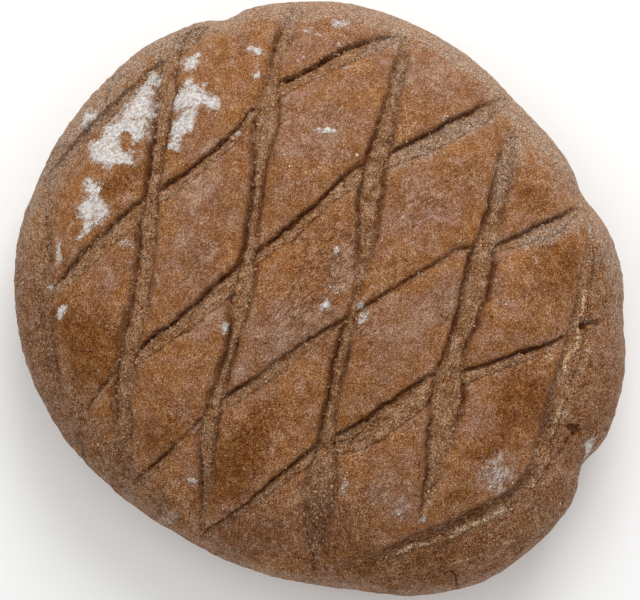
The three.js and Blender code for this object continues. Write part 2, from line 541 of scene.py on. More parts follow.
@dataclass
class Slash:
    """One slash: rows of plan x, y, width and the painted shade under its two lips.

    Lengths are in millimetres. Once it is laid, it holds its line on the crust: points,
    directions along and across, distance run, half widths, painted shade and depth.
    """

    cut: Cut
    controls: tuple[tuple[float, ...], ...]
    seed: float
    step: float = 1.0
    narrowest: float = 1.2
    reach: float = 16.0
    # How it runs out at its ends.
    run_out: float = 16.0
    end_share: float = 0.3
    end_fade: float = 2.5
    # How its lips bulge and fray, and how the painted shade under them breaks up.
    slow_length: float = 14.0
    quick_length: float = 4.5
    bulge: float = 0.18
    fray_length: float = 1.9
    fray: float = 0.5
    gloom_length: float = 7.0
    gloom_swing: float = 0.3
    # The raised crest beside it, lower at the lit lip.
    crest_out: float = 2.0
    crest_spread: float = 1.5
    lit_crest: float = 0.5
    crest_depth: float = 4.0
    least_crest: float = 0.2
    # Where the open crumb shows across it, and the torn threads in the crumb.
    crumb_ends: float = 1.25
    crumb_full: float = 0.7
    crumb_half: float = 2.5
    least_crumb: float = 0.3
    streak_length: float = 7.0
    streak_width: float = 1.5
    streak_shift: float = 37.0
    # Filled in by lay.
    centre: np.ndarray = field(init=False, repr=False)
    tangent: np.ndarray = field(init=False, repr=False)
    side: np.ndarray = field(init=False, repr=False)
    distance: np.ndarray = field(init=False, repr=False)
    left: np.ndarray = field(init=False, repr=False)
    right: np.ndarray = field(init=False, repr=False)
    shaded_gloom: np.ndarray = field(init=False, repr=False)
    lit_gloom: np.ndarray = field(init=False, repr=False)
    depth: np.ndarray = field(init=False, repr=False)

    def lay(self, body: LoafBody) -> None:
        """Lays the slash on the crust and works out its ragged edges.

        Args:
            body: the smooth loaf it is cut into.
        """
        rows = smooth_path(np.array(self.controls, float), self.step)
        self.centre = body.dome(rows[:, 0], rows[:, 1])
        self.tangent = unit(np.gradient(self.centre, axis=0))
        side = unit(np.cross(self.tangent, body.dome_normal(self.centre)))
        self.side = side if self.cut is Cut.SLANT else -side
        steps = np.linalg.norm(np.diff(self.centre, axis=0), axis=1)
        self.distance = np.concatenate([[0.0], np.cumsum(steps)])
        half = np.maximum(rows[:, 2], self.narrowest) / 2
        self.left = self.ragged(half, 1)
        self.right = self.ragged(half, 2)
        self.shaded_gloom = self.broken(rows[:, 3], self.seed)
        self.lit_gloom = self.broken(rows[:, 4], -self.seed)
        from_end = np.minimum(self.distance, self.distance[-1] - self.distance)
        rise = self.end_share + (1 - self.end_share) * smoothstep(0, self.run_out, from_end)
        shape = SHAPES[self.cut]
        self.depth = rise * (shape.base_depth + shape.depth_per_width * 2 * half)

    def ragged(self, half: np.ndarray, which: int) -> np.ndarray:
        """Half width of one side, 1 or 2, along the slash, with its edge bulged and frayed.

        Args:
            half: plain half width at each sample.
            which: number of the side.

        Returns:
            Half widths in millimetres.
        """
        slow = wobble(self.distance, self.slow_length, self.seed + 10 * which)
        quick = wobble(self.distance, self.quick_length, self.seed + 20 * which)
        fray = wobble(self.distance, self.fray_length, self.seed + 30 * which)
        return half * (1 + self.bulge * slow + self.bulge * quick) + self.fray * fray

    def broken(self, drawn: np.ndarray, seed: float) -> np.ndarray:
        """Painted shade under one lip along the slash, as drawn but broken up, from 0 to 1."""
        swing = wobble(self.distance, self.gloom_length, seed)
        return np.clip(drawn + self.gloom_swing * swing, 0, 1)

    def read(self, points: np.ndarray, reading: Reading) -> None:
        """Adds this slash to a reading of the crust.

        Args:
            points: points of the smooth crust.
            reading: the reading that is widened in place.
        """
        chosen = rows_near(points, self.centre, self.reach)
        for rows in np.array_split(chosen, max(1, len(chosen) // POINTS_AT_ONCE)):
            self.read_rows(points[rows], rows, reading)

    def read_rows(self, points: np.ndarray, rows: np.ndarray, reading: Reading) -> None:
        """Measures some of the points.

        Args:
            points: the chosen points of the smooth crust.
            rows: their places in the reading.
            reading: the reading that is widened in place.
        """
        pick = nearest(points, self.centre)
        offset = points - self.centre[pick]
        across = (offset * self.side[pick]).sum(1)
        ahead = (offset * self.tangent[pick]).sum(1)
        last = len(self.centre) - 1
        beyond = np.where(pick == 0, np.maximum(-ahead, 0), 0)
        beyond = beyond + np.where(pick == last, np.maximum(ahead, 0), 0)
        apart = np.hypot(across, beyond)
        half = np.where(across < 0, self.left[pick], self.right[pick])
        place = np.sign(across) * apart / half
        shape = SHAPES[self.cut]
        fade = smoothstep(self.end_fade, 0.0, beyond)
        lips = Lips(
            across + self.left[pick] - beyond,
            self.right[pick] - across - beyond,
            self.shaded_gloom[pick] * fade,
            self.lit_gloom[pick] * fade,
            self.distance[pick] + ahead + self.streak_shift * self.seed,
        )
        share = shape.share(place)
        share = share + shape.shaded.depth(lips.shaded, lips.shaded_gloom)
        share = share + shape.lit.depth(lips.lit, lips.lit_gloom)
        edge = apart - half
        ridge = bell(edge - self.crest_out, self.crest_spread)
        height = np.where(across < 0, shape.lip, self.lit_crest * shape.lip)
        crest = ridge * height * np.clip(self.depth[pick] / self.crest_depth, self.least_crest, 1)
        reading.depth[rows] = np.maximum(reading.depth[rows], share * self.depth[pick])
        reading.crest[rows] = np.maximum(reading.crest[rows], crest)
        reading.edge[rows] = np.minimum(reading.edge[rows], edge)
        inside = smoothstep(self.crumb_ends, self.crumb_full, np.abs(place))
        inside = inside * np.clip(half / self.crumb_half, self.least_crumb, 1.0) * shape.crumb
        threads = self.threads(lips.along, across)
        reading.streak[rows] = np.where(inside > reading.rough[rows], threads, reading.streak[rows])
        reading.rough[rows] = np.maximum(reading.rough[rows], inside)
        (reading.long if self.cut is Cut.LONG else reading.slant).keep(rows, lips)

    def threads(self, along: np.ndarray, across: np.ndarray) -> np.ndarray:
        """Height of the torn threads that run along the slash, about -1 to 1.

        Args:
            along: millimetres run along the slash.
            across: millimetres off its line.

        Returns:
            One height for each point.
        """
        seeds = np.full_like(along, self.seed)
        spots = np.stack([along / self.streak_length, across / self.streak_width, seeds], -1)
        return fractal(spots, 2)


@dataclass
class Seam:
    """A crack, fold or ridge: points of plan x, y, or of direction deg and height mm.

    A ridge has a depth below zero. Dark is the strength of its core's painted black shadow,
    pale that of a pale torn ridge, partly a painted highlight, dusty that of flour in it,
    and shade that of the painted soft shade about it.
    """

    points: tuple[tuple[float, float], ...]
    width: float
    depth: float
    dark: float = 0.0
    pale: float = 0.0
    dusty: float = 0.0
    shade: float = 0.0
    shade_width: float = 2.0
    on_wall: bool = False
    # How it is sampled, and how its core fades past its ends.
    step: float = 0.6
    reach: float = 8.0
    hub_height: float = 20.0
    fade_begins: float = 0.3
    fade_ends: float = 2.0
    # Filled in by lay.
    centre: np.ndarray = field(init=False, repr=False)
    side: np.ndarray = field(init=False, repr=False)

    def lay(self, body: LoafBody) -> None:
        """Lays the seam on the crust.

        Args:
            body: the smooth loaf it runs over.
        """
        rows = smooth_path(np.array(self.points, float), self.step)
        if self.on_wall:
            self.centre = body.wall(np.radians(rows[:, 0]), rows[:, 1])
        else:
            self.centre = body.dome(rows[:, 0], rows[:, 1])
        along = unit(np.gradient(self.centre, axis=0))
        outward = self.centre - (0, 0, self.hub_height)
        self.side = unit(np.cross(along, outward))

    def read(self, points: np.ndarray, cracks: "Cracks") -> None:
        """Adds the seam to what is known of the cracks.

        Args:
            points: points of the smooth crust.
            cracks: what is known, widened in place.
        """
        rows = rows_near(points, self.centre, self.reach)
        if len(rows) == 0:
            return
        pick = nearest(points[rows], self.centre)
        offset = points[rows] - self.centre[pick]
        across = (offset * self.side[pick]).sum(1)
        apart = np.linalg.norm(offset, axis=1)
        beyond = np.sqrt(np.maximum(apart**2 - across**2, 0))
        close = bell(apart, self.width)
        cracks.push[rows] -= self.depth * close
        cracks.pale[rows] = np.maximum(cracks.pale[rows], self.pale * close)
        cracks.dusty[rows] = np.maximum(cracks.dusty[rows], self.dusty * close)
        soft = self.shade * bell(apart, self.shade_width)
        cracks.shade[rows] = np.maximum(cracks.shade[rows], soft)
        nearer = apart < cracks.apart[rows]
        cracks.apart[rows] = np.minimum(cracks.apart[rows], apart)
        fade = self.dark * smoothstep(self.fade_ends, self.fade_begins, beyond)
        cracks.off[rows] = np.where(nearer, across, cracks.off[rows])
        cracks.dark[rows] = np.where(nearer, fade, cracks.dark[rows])


@dataclass
class Cracks:
    """What the seams do at each point: push, tints, painted shade, and the nearest line in
    millimetres.
    """

    push: np.ndarray
    pale: np.ndarray
    dusty: np.ndarray
    shade: np.ndarray
    dark: np.ndarray
    off: np.ndarray
    apart: np.ndarray

    @classmethod
    def empty(cls, count: int) -> "Cracks":
        """Nothing known yet at this many points."""
        return cls(*np.zeros((5, count)), np.full(count, FAR), np.full(count, FAR))


# Rows of a slash: plan x and y, width, and the painted shade under its shaded and its lit lip.
LONG_SLASHES = (
    ((-107, 44, 5, 0.1, 0.2), (-108, 28, 5, 0.1, 0.2), (-107, 8, 6, 0.1, 0.3),
     (-108, -12, 8, 0.1, 0.3), (-106, -28, 8, 0.1, 0.3), (-102, -42, 4, 0, 0.2)),
    ((-57, 108, 6, 0, 0.1), (-61, 89, 10, 0.3, 0.5), (-63, 62, 8, 0.9, 0.7),
     (-65, 38, 7, 0.9, 0.5), (-67, 12, 8, 0.8, 0.45), (-70, -11, 10, 0.7, 0.3),
     (-75, -33, 9, 0.6, 0.2), (-76, -59, 8, 0.2, 0.4), (-75, -77, 3, 0.2, 0.2)),
    ((-9, 116, 6, 0.4, 0.1), (-15, 100, 7, 0.8, 0.2), (-19, 85, 5, 0.5, 0.2),
     (-21, 66, 10, 0.6, 0.6), (-24, 36, 6, 0.9, 0.8), (-27, 12, 6, 1.0, 0.6),
     (-30, -5, 10, 0.4, 0.6), (-34, -27, 5, 1.0, 0.7), (-42, -56, 8, 0.4, 0.6),
     (-44, -76, 5, 0.7, 0.4), (-46, -93, 2, 0.6, 0.3)),
    ((35, 103, 4, 0.2, 0.3), (32, 88, 6, 0.5, 0.4), (25, 58, 8, 0.8, 0.6),
     (20, 35, 11, 0.8, 0.8), (18, 18, 8, 0.7, 0.7), (14, -5, 4, 0.5, 0.3),
     (8, -28, 6, 1.0, 0.8), (3, -52, 6, 0.9, 0.5), (0, -78, 12, 0.3, 0.55),
     (-2, -96, 8, 0.3, 0.35), (-3, -108, 2, 0.2, 0.4)),
    ((77, 64, 5, 0.3, 0.2), (73, 47, 9, 0.5, 0.4), (69, 32, 8, 0.9, 0.6),
     (64, 15, 9, 0.8, 0.5), (61, 2, 12, 0.9, 0.9), (56, -15, 10, 0.9, 0.8),
     (51, -28, 8, 0.8, 0.6), (48, -44, 15, 0.4, 0.8), (46, -58, 12, 0.7, 0.4),
     (42, -75, 6, 0.7, 0.2), (38, -90, 2, 0.6, 0.1)),
)
TORN_SLASH = (
    (108, 27, 3, 0.2, 0), (106, 12, 5, 0.3, 0.1), (103, -2, 6, 0.3, 0.1),
    (100, -14, 7, 0.6, 0.2), (96, -30, 8, 0.3, 0.1), (91, -44, 8, 0.4, 0.2),
    (87, -56, 8, 0.5, 0.2), (85, -66, 8, 0.8, 0.2), (80, -75, 7, 0.6, 0.1),
    (72, -82, 6, 0.5, 0.1), (60, -88, 6, 0.4, 0), (49, -93, 6, 0.3, 0),
    (37, -98, 6, 0.3, 0), (24, -103, 5, 0.3, 0), (9, -108, 3, 0.2, 0),
)
SLANT_SLASHES = (
    ((-110, 46, 6, 0.2, 0.1), (-100, 56, 7, 0.35, 0.15), (-85, 71, 7, 0.4, 0.15),
     (-69, 86, 7, 0.15, 0.15), (-54, 101, 7, 0.5, 0.15), (-46, 110, 3.5, 0.6, 0)),
    ((-105, -3, 3.5, 0.5, 0), (-98, 3, 7, 0.5, 0.2), (-85, 15, 8, 0.5, 0.25),
     (-66, 31, 7, 0.7, 0.45), (-50, 42, 5, 1, 0.45), (-35, 55, 5, 1, 0.45),
     (-26, 67, 5, 0.7, 0.35), (-17, 76, 7, 0.6, 0.65), (-5, 83, 6, 1, 0.65),
     (8, 91, 8, 0.9, 0.55), (20, 98, 8, 0.7, 0.55), (34, 105, 2.5, 0.2, 0.1)),
    ((-89, -47, 2.5, 0.9, 0), (-79, -36, 3.5, 0.6, 0), (-66, -26, 6, 0.9, 0.45),
     (-50, -15, 7, 0.9, 0.45), (-35, -2, 9, 0.9, 0.45), (-24, 9, 5, 0.8, 0.55),
     (-11, 18, 6, 1, 0.65), (2, 30, 5, 0.9, 0.55), (15, 41, 7, 0.8, 0.45),
     (28, 48, 6, 0.9, 0.55), (48, 59, 8, 0.9, 0.65), (64, 70, 8, 0.7, 0.45),
     (76, 80, 2.5, 0.2, 0)),
    ((-70, -74, 2.5, 0.6, 0), (-60, -67, 2.5, 1, 0), (-53, -61, 2.5, 0.3, 0),
     (-45, -54, 3.5, 0.8, 0.1), (-38, -48, 5, 0.8, 0.35), (-28, -42, 5, 1, 0.45),
     (-19, -36, 5, 0.3, 0.45), (0, -22, 3.5, 0.9, 0.2), (20, -9, 2.5, 0.9, 0.1),
     (41, 4, 2.5, 0.8, 0.1), (54, 12, 2.5, 0.6, 0.1), (68, 14, 3.5, 0.9, 0.3),
     (84, 21, 6, 0.8, 0.65), (92, 25, 7, 0.8, 0.55), (103, 34, 2.5, 0.5, 0)),
    ((-46, -96, 2.5, 0.5, 0), (-28, -85, 3.5, 0.8, 0.1), (-11, -72, 5, 0.9, 0.45),
     (4, -63, 7, 1, 0.85), (19, -57, 11, 1, 0.65), (33, -47, 10, 1, 0.65),
     (44, -38, 7, 0.8, 0.45), (58, -35, 5, 1, 0.45), (75, -29, 5, 1, 0.55),
     (86, -25, 3.5, 1, 0.2), (96, -19, 2.5, 0.8, 0), (110, -12, 2.5, 0.7, 0)),
)

# Folds and ridges along the torn slash, cracks at the rim, small folds in the skin, and
# last the cracks round the side wall.
SEAMS = (
    Seam(((104, 12), (103.3, 7), (102.3, 1), (100.9, -5), (99.5, -10), (98, -14)), 1.1, 0.7,
         dusty=0.7, shade=0.45),
    Seam(((94, -25), (92.1, -32), (90.5, -38), (88.9, -45), (88.2, -51), (86.8, -57)), 0.9, 0.6,
         dusty=0.6, shade=0.9, shade_width=1.6),
    Seam(((104, -1), (103, -7), (101, -13.6), (100.5, -19), (99, -24), (96, -28), (95, -32)),
         1.1, -0.8, pale=0.8),
    Seam(((93.3, -44), (92.2, -48), (90.7, -53), (89.7, -57)), 1.1, -0.8, pale=0.8),
    Seam(((103.3, -22), (103.3, -26), (102, -31)), 2.6, -0.3, pale=0.45),
    Seam(((97, -40), (94.9, -43.6), (93.6, -50)), 2.8, -0.3, pale=0.45),
    Seam(((101.8, -14.7), (103.6, -13.7), (106.2, -13), (108.8, -13)), 1.0, 1.2, dark=0.9),
    Seam(((102, -11), (102.3, -13.5), (102.7, -15)), 0.9, 1.0, dark=0.8),
    Seam(((113, -21.5), (115.5, -23), (115.9, -28), (113.6, -36), (111, -40)), 0.9, 0.7,
         dark=0.35, shade=0.25),
    Seam(((24.5, -102.5), (41, -95), (56, -89.5), (67.7, -84), (77, -77.6), (83, -71.5)), 2.2,
         0.4, shade=0.6, shade_width=4.2),
    Seam(((29, -102.5), (36, -100), (43, -98.2), (49.5, -95.6)), 0.9, -1.1, pale=0.75),
    Seam(((49.5, -95.6), (56.3, -92.2), (64, -89), (69.7, -86.2), (73, -85)), 1.0, -1.3, pale=1.0),
    Seam(((74, -84), (78, -80.5), (82.5, -75.5), (86, -70), (88.5, -65)), 1.0, -0.9, pale=0.6),
    Seam(((49, -105), (56, -103.2), (61.4, -102)), 0.8, -0.5, pale=0.6),
    Seam(((68.3, -97.9), (74.2, -95.9)), 0.8, -0.5, pale=0.6),
    Seam(((60, -108), (72, -103), (84, -94)), 1.2, 0.8, dark=0.3),
    Seam(((97.3, -54.4), (98.1, -56)), 1.5, 1.9, shade=1.1, shade_width=2.0),
    Seam(((95.8, -53.9), (97.6, -53.1), (99.6, -53)), 0.7, 0.9, dark=0.9),
    Seam(((99.1, -53.9), (99, -55.4), (98, -56.8)), 0.9, 1.1, dark=1.0),
    Seam(((95.8, -58.2), (95, -59.6)), 1.0, 1.3, dark=0.8, shade=0.7),
    Seam(((91, -57.4), (92.4, -58.8), (94, -59.4)), 0.6, 0.6, dark=0.7),
    Seam(((93.8, -61.5), (90.5, -66), (87.5, -70)), 1.0, 0.9, dark=0.5, shade=0.6),
    Seam(((95, -54), (98, -54.4), (101, -54.2), (104, -54.4), (107, -55.2)), 0.7, 0.9, dark=0.6),
    Seam(((48, -108.7), (50, -108.3), (51.8, -109.8), (52.4, -112), (52.8, -115)), 0.8, 1.4,
         dark=1.0),
    Seam(((-2.9, -103.5), (-3, -105.7), (-2.7, -108.6)), 0.7, 0.8, dark=0.8),
    Seam(((-24.7, -101.2), (-19, -102), (-13.3, -102.8), (-7.6, -103.5)), 0.7, 0.7,
         dark=0.6),
    Seam(((37, -90.6), (40, -86.6), (42.5, -81.8), (44.7, -77.5)), 1.3, -0.6, pale=0.4),
    Seam(((-104, -14), (-104, -20), (-104, -27), (-103, -35), (-101, -41)), 1.0, 0.7, dark=0.3),
    Seam(((-15, 112), (-17, 107), (-18.5, 102)), 0.8, 0.8, dark=0.6),
    Seam(((-54, 98), (-51, 101.6), (-48.7, 106), (-46.6, 110)), 1.0, 1.4, dark=0.9),
    Seam(((-52, 106), (-49, 109)), 3.5, -1.6),
    Seam(((24, 62), (26.5, 63.2), (28.7, 62)), 0.6, 0.5, dark=0.5),
    Seam(((23, 55), (25.6, 54), (28, 55.3)), 0.6, 0.4, dark=0.4),
    Seam(((32.4, 85.2), (31.5, 82.8), (31, 81)), 0.8, 0.8, dark=0.8),
    Seam(((68.6, 38.6), (71, 39.7), (73.3, 37.8)), 0.7, 0.5, dark=0.4),
    Seam(((66.8, 32.7), (69.2, 32.5), (71.2, 34)), 0.7, 0.5, dark=0.4),
    Seam(((76, 61.2), (77.5, 61)), 0.9, 0.9, dark=0.9),
    Seam(((-66.3, 75.3), (-64.8, 77), (-63, 76.3)), 0.7, 0.5, dark=0.5),
    Seam(((-65, 58), (-64.3, 56.8)), 0.9, 0.8, dark=0.9),
    Seam(((-26.8, 28.2), (-24.5, 27), (-22.2, 28.1)), 0.7, 0.4, dark=0.5),
    Seam(((-7.5, 3), (-4.5, 4.1), (-1.5, 3.7), (0.7, 2.2), (3.7, 0.6)), 0.7, 0.4, dark=0.5),
    Seam(((45, 37.5), (48, 39), (50.3, 40), (52.7, 41.7)), 1.2, 0.8, dark=0.6),
    Seam(((50.3, 40), (50, 43)), 1.5, 0.5, dark=0.3),
    Seam(((39, 31), (42, 25)), 3.0, 0.7),
    Seam(((45.5, -13.4), (48, -15.4), (51.2, -16.2)), 0.8, 0.5, dark=0.55),
    Seam(((63, -13.2), (65, -13.9), (67.2, -13.4)), 0.8, 0.4, dark=0.5),
    Seam(((-43, -56), (-40.3, -58.3), (-37.3, -60)), 0.8, 0.3, dark=0.4),
    Seam(((-17.8, -44.7), (-15.6, -46.6), (-13.3, -49.5)), 0.8, 0.3, dark=0.5),
    Seam(((-21.5, -46.2), (-18.6, -47), (-14.8, -47.7)), 0.8, 0.3, dark=0.5),
    Seam(((-26, -23.7), (-21.6, -24.8), (-16.7, -24.5)), 0.8, 0.3, dark=0.4),
    Seam(((85.3, -27.3), (87.7, -28), (89.3, -29)), 1.2, -0.8, pale=0.5),
    Seam(((78, -27), (81.4, -25.7), (83, -25)), 1.0, 1.2, dark=1.0),
    Seam(((1, -63), (5.6, -61.6), (11, -60.2), (15.6, -57.6)), 0.8, 0.8, dark=0.7),
    Seam(((9.3, -62.3), (13.3, -61.3), (17.8, -59.5), (21.5, -57)), 0.8, 0.8, dark=0.55),
    Seam(((14.8, -51), (17, -53), (19.3, -56)), 0.8, 0.6, dark=0.6),
    Seam(((8, 40), (9.4, 37), (10.2, 34)), 1.0, 0.8, dark=0.7),
    Seam(((15, 35), (17.4, 32.4), (19, 29.3)), 0.9, 0.5, dark=0.4),
    Seam(((3.7, -19.7), (7.4, -16.7), (12, -14.5)), 0.8, 0.4, dark=0.5),
    Seam(((200, 30), (212, 25), (224, 28)), 1.2, 1.3, on_wall=True, dark=0.7),
    Seam(((150, 22), (161, 19), (170, 22)), 1.1, 1.2, on_wall=True, dark=0.7),
    Seam(((75, 24), (88, 20), (97, 23)), 1.2, 1.3, on_wall=True, dark=0.7),
    Seam(((15, 18), (28, 22), (38, 19)), 1.1, 1.1, on_wall=True, dark=0.6),
    Seam(((285, 16), (300, 14), (316, 18)), 1.3, 1.2, on_wall=True, dark=0.6),
    Seam(((330, 22), (342, 17), (352, 20)), 1.1, 1.2, on_wall=True, dark=0.6),
    Seam(((120, 12), (134, 10), (143, 13)), 1.4, 0.9, on_wall=True, dark=0.4),
    Seam(((244, 12), (258, 10), (270, 14)), 1.4, 0.9, on_wall=True, dark=0.4),
)


@dataclass(frozen=True)
class Dab:
    """A soft oval on the crust: plan place, half sizes, turn in degrees and strength."""

    x: float
    y: float
    long: float
    short: float
    turn: float = 0.0
    strength: float = 1.0

    def over(self, points: np.ndarray) -> np.ndarray:
        """Strength of the oval at each point, easing out past its half sizes.

        Args:
            points: rows of x, y, z in millimetres.

        Returns:
            One strength for each point.
        """
        turn = math.radians(self.turn)
        x = points[:, 0] - self.x
        y = points[:, 1] - self.y
        along = (x * math.cos(turn) + y * math.sin(turn)) / self.long
        across = (y * math.cos(turn) - x * math.sin(turn)) / self.short
        return self.strength * smoothstep(1.6, 0.2, np.hypot(along, across))


# Where the skin baked rust-brown, where a pale bloom lies on it, where it is finely
# wrinkled, where shade is painted over the lower side, and where it is dusted.
RUST = (
    Dab(-90, -22, 22, 15, 110, 1.0),
    Dab(-30, -68, 24, 10, 50, 1.0),
    Dab(-58, -57, 15, 9, 60, 0.6),
    Dab(92, 6, 18, 14, 80, 0.75),
    Dab(84, 34, 14, 7, 120, 0.6),
    Dab(76, -47, 18, 14, 60, 0.8),
    Dab(61, -62, 12, 7, 60, 0.5),
    Dab(11, -103, 26, 7, 0, 0.6),
    Dab(45, -104, 24, 7, 25, 0.6),
    Dab(-27, 57, 14, 8, 60, 0.4),
    Dab(38, 73, 14, 9, 40, 0.3),
    Dab(-75, 42, 14, 7, 50, 0.7),
    Dab(-58, 70, 6, 10, 80, 0.2),
    Dab(20, -60, 16, 6, 35, 0.4),
    Dab(52, -82, 10, 6, 20, 0.4),
)
BLOOM = (
    Dab(-10, -18, 17, 10, 20, 0.9),
    Dab(38, 29, 22, 15, 30, 0.45),
    Dab(45, -9, 18, 7, 30, 0.8),
    Dab(-47, 35, 10, 8, 50, 0.9),
    Dab(-45, 15, 16, 11, 60, 0.45),
    Dab(-42, 50, 9, 8, 60, 0.6),
    Dab(-52, 60, 9, 7, 60, 0.5),
    Dab(30, -20, 17, 11, 30, 0.6),
    Dab(2, 57, 20, 10, 20, 0.6),
    Dab(27, -79, 12, 11, 60, 0.6),
    Dab(-42, -13, 10, 6, 70, 0.8),
    Dab(42, 86, 24, 10, -30, 0.6),
    Dab(-5, 100, 16, 8, 20, 0.4),
    Dab(8, 2, 10, 6, 70, 0.9),
    Dab(66, 12, 10, 5, 60, 0.5),
    Dab(-28, -30, 12, 5, 60, 0.5),
    Dab(-82, 3, 10, 6, 70, 0.4),
    Dab(60, -50, 10, 6, 40, 0.4),
)
WRINKLED = (
    Dab(4, 10, 16, 12, 40, 0.9),
    Dab(-6, -12, 16, 10, 30, 0.8),
    Dab(40, 30, 16, 9, 40, 0.6),
    Dab(12, -24, 12, 8, 30, 0.8),
    Dab(-26, -54, 10, 6, 40, 0.8),
    Dab(50, -6, 14, 8, 20, 0.5),
    Dab(-44, 10, 12, 10, 50, 0.5),
    Dab(24, -80, 12, 10, 60, 0.5),
)
SHADED = (
    Dab(-27, -96, 24, 12, 15, 0.62),
    Dab(3, -92, 14, 16, 90, 0.62),
    Dab(20, -108, 52, 8, 8, 0.5),
    Dab(52, -99, 28, 8, 28, 0.45),
    Dab(-85, -55, 20, 6, 130, 0.2),
)
DUSTED = (
    Dab(50, 59, 26, 4.5, 32, 0.95),
    Dab(88, 21, 18, 4.5, 25, 0.9),
    Dab(74, 48, 18, 5, 75, 0.8),
    Dab(26, 100, 14, 4, 40, 0.6),
    Dab(33, 84, 16, 4, 75, 0.45),
    Dab(84, 66, 16, 6, 130, 0.5),
    Dab(60, 92, 20, 5, 150, 0.45),
    Dab(28, 108, 16, 5, 165, 0.45),
    Dab(-5, 112, 14, 4, 180, 0.4),
)
# Flecks of flour, each turned its own way, and the clumped dabs of flour. A dab of
# strength below zero is a bare spot.
FLECK_BREADTH = 0.6
FLECK_TURN = 37.0
FLECK_STRENGTH = 0.75
FLECKS = tuple(
    Dab(x, y, size, FLECK_BREADTH * size, FLECK_TURN * x, FLECK_STRENGTH)
    for x, y, size in (
        (-5.5, 103.5, 1.6), (-0.8, 101.4, 1.6), (-7.0, 91.2, 1.2), (-9.7, 88.9, 1.0),
        (7.5, 97.6, 1.2), (9.7, 86.8, 1.1), (-11.1, 62.3, 1.2), (-13.4, 61.1, 0.9),
        (3.8, 66.1, 1.0), (1.9, 63.5, 0.8), (7.6, 50.0, 1.4), (9.1, 52.8, 1.0),
        (10.7, 59.0, 1.0), (-39.7, 69.3, 1.3), (-43.3, 97.1, 0.8), (-31.2, 100.4, 0.8),
        (10.0, 70.9, 0.9), (-55.0, 90.8, 1.2), (14.0, 48.5, 0.8), (-2.0, 75.0, 0.7),
        (16.0, 75.0, 0.8), (50.0, 62.0, 0.9), (-98.0, 30.0, 1.0), (-100.0, 12.0, 0.9),
    )
)
DABS = (
    Dab(-68, 86, 4.5, 3, 60, 1.0),
    Dab(-70, 80, 5, 3, 60, 1.0),
    Dab(-72, 72, 8, 6, 30, 1.2),
    Dab(-80, 60, 9, 7, 60, 1.2),
    Dab(-72, 62, 6, 6, 30, 1.0),
    Dab(-86, 54, 6, 6, 30, 1.1),
    Dab(-80, 51, 9, 4.5, -10, 1.2),
    Dab(-75.5, 57, 3.2, 2.2, 50, -1.3),
    Dab(-93, 70, 5, 2.4, 45, 0.9),
    Dab(-50.5, 91, 5.5, 3, 60, 1.0),
    Dab(-52.5, 82, 4, 2.6, 70, 0.9),
    Dab(-50, 74, 8, 6, 0, 1.15),
    Dab(-44, 71, 5, 3.4, -20, 1.0),
    Dab(-53, 63, 6.5, 4, 70, 1.1),
    Dab(-55, 55, 4, 3.2, 80, 0.9),
    Dab(-87.5, 37, 5, 4.4, 80, 1.0),
    Dab(-87.5, 30, 5.5, 6, 80, 1.15),
    Dab(-86.5, 29, 2.2, 2.0, 0, -0.5),
    Dab(-89.5, 22.5, 4, 1.4, 60, 0.9),
    Dab(-92, 19.5, 3.0, 1.4, 40, 0.9),
    Dab(-102, 16, 6, 1.3, 85, 0.8),
    Dab(-106.5, 0.5, 1.5, 1.1, 60, 1.1),
    Dab(-99, -10, 3, 2.2, 70, 0.9),
    Dab(-25, 94, 3, 2, 10, 0.8),
    Dab(-25, 84, 3, 2, 50, 0.8),
    Dab(8, 107, 4, 1.8, 0, 0.7),
    Dab(-5, 104, 3, 1.0, 10, 0.7),
    Dab(2, 58, 5, 1.6, 12, 1.1),
    Dab(6, 11, 3, 1.6, 80, 0.9),
    Dab(2, -10, 2.4, 2.4, 0, 1.0),
    Dab(16, -10, 1.6, 1.2, 0, 0.9),
    Dab(17, -15, 3, 1.6, 70, 0.8),
    Dab(-37, -19, 3, 1.6, 80, 0.8),
    Dab(104, -60, 5, 1.7, 75, 0.9),
    Dab(-74, 15, 3.4, 2.4, 30, 0.5),
    Dab(-32, 59, 2, 2, 0, 0.5),
    Dab(11, 51, 3.4, 1.2, 80, 0.5),
    Dab(49, 66, 1.4, 1.2, 0, 0.6),
    Dab(88, 53, 2.6, 1.6, 60, 0.6),
    Dab(6, -3, 4, 3.6, 0, 0.35),
    Dab(70, -8, 4, 1.4, 10, 0.4),
    Dab(106, 25, 2.6, 1.8, 60, 0.6),
    Dab(9, -75, 7, 1.8, 85, 0.4),
    Dab(30, -87, 5, 3, 80, 0.45),
    Dab(66, -73, 7, 7, 0, 0.6),
    Dab(68, -65, 3, 2.6, 0, 0.5),
    Dab(38, -89, 1.8, 1.4, 0, 0.7),
    Dab(-49, -75, 2.2, 1.6, 60, 0.6),
    Dab(-60, -88, 5, 2, 20, 0.5),
)


# --- finishes ---------------------------------------------------------------------------

# Vertex values that the crust's material reads.
LIP_NAMES = ("long_shaded", "long_lit", "slant_shaded", "slant_lit")
MASK_NAMES = (
    "torn",
    "along",
    "across",
    "crack",
    "crack_off",
    "pale",
    "shade",
    "rust",
    "bloom",
    "wrinkled",
    "dust",
    "flour",
    *LIP_NAMES,
    *(name + "_gloom" for name in LIP_NAMES),
)

# Blender's names for the nodes and settings that come up most.
NOISE = "ShaderNodeTexNoise"
CELLS = "ShaderNodeTexVoronoi"
MATH = "ShaderNodeMath"
MIX = "ShaderNodeMix"
RANGE = "ShaderNodeMapRange"
READ = "ShaderNodeAttribute"
SPLIT = "ShaderNodeSeparateColor"
JOIN = "ShaderNodeCombineColor"
EASE = "SMOOTHSTEP"
TIMES_PLUS = "MULTIPLY_ADD"

# How much of each named field goes into a sum.
Shares = tuple[tuple[str, float], ...]


@dataclass(frozen=True)
class Pattern:
    """Soft noise: size of its lumps in millimetres, finer lumps added, and its swing."""

    size: float
    detail: float
    swing: float


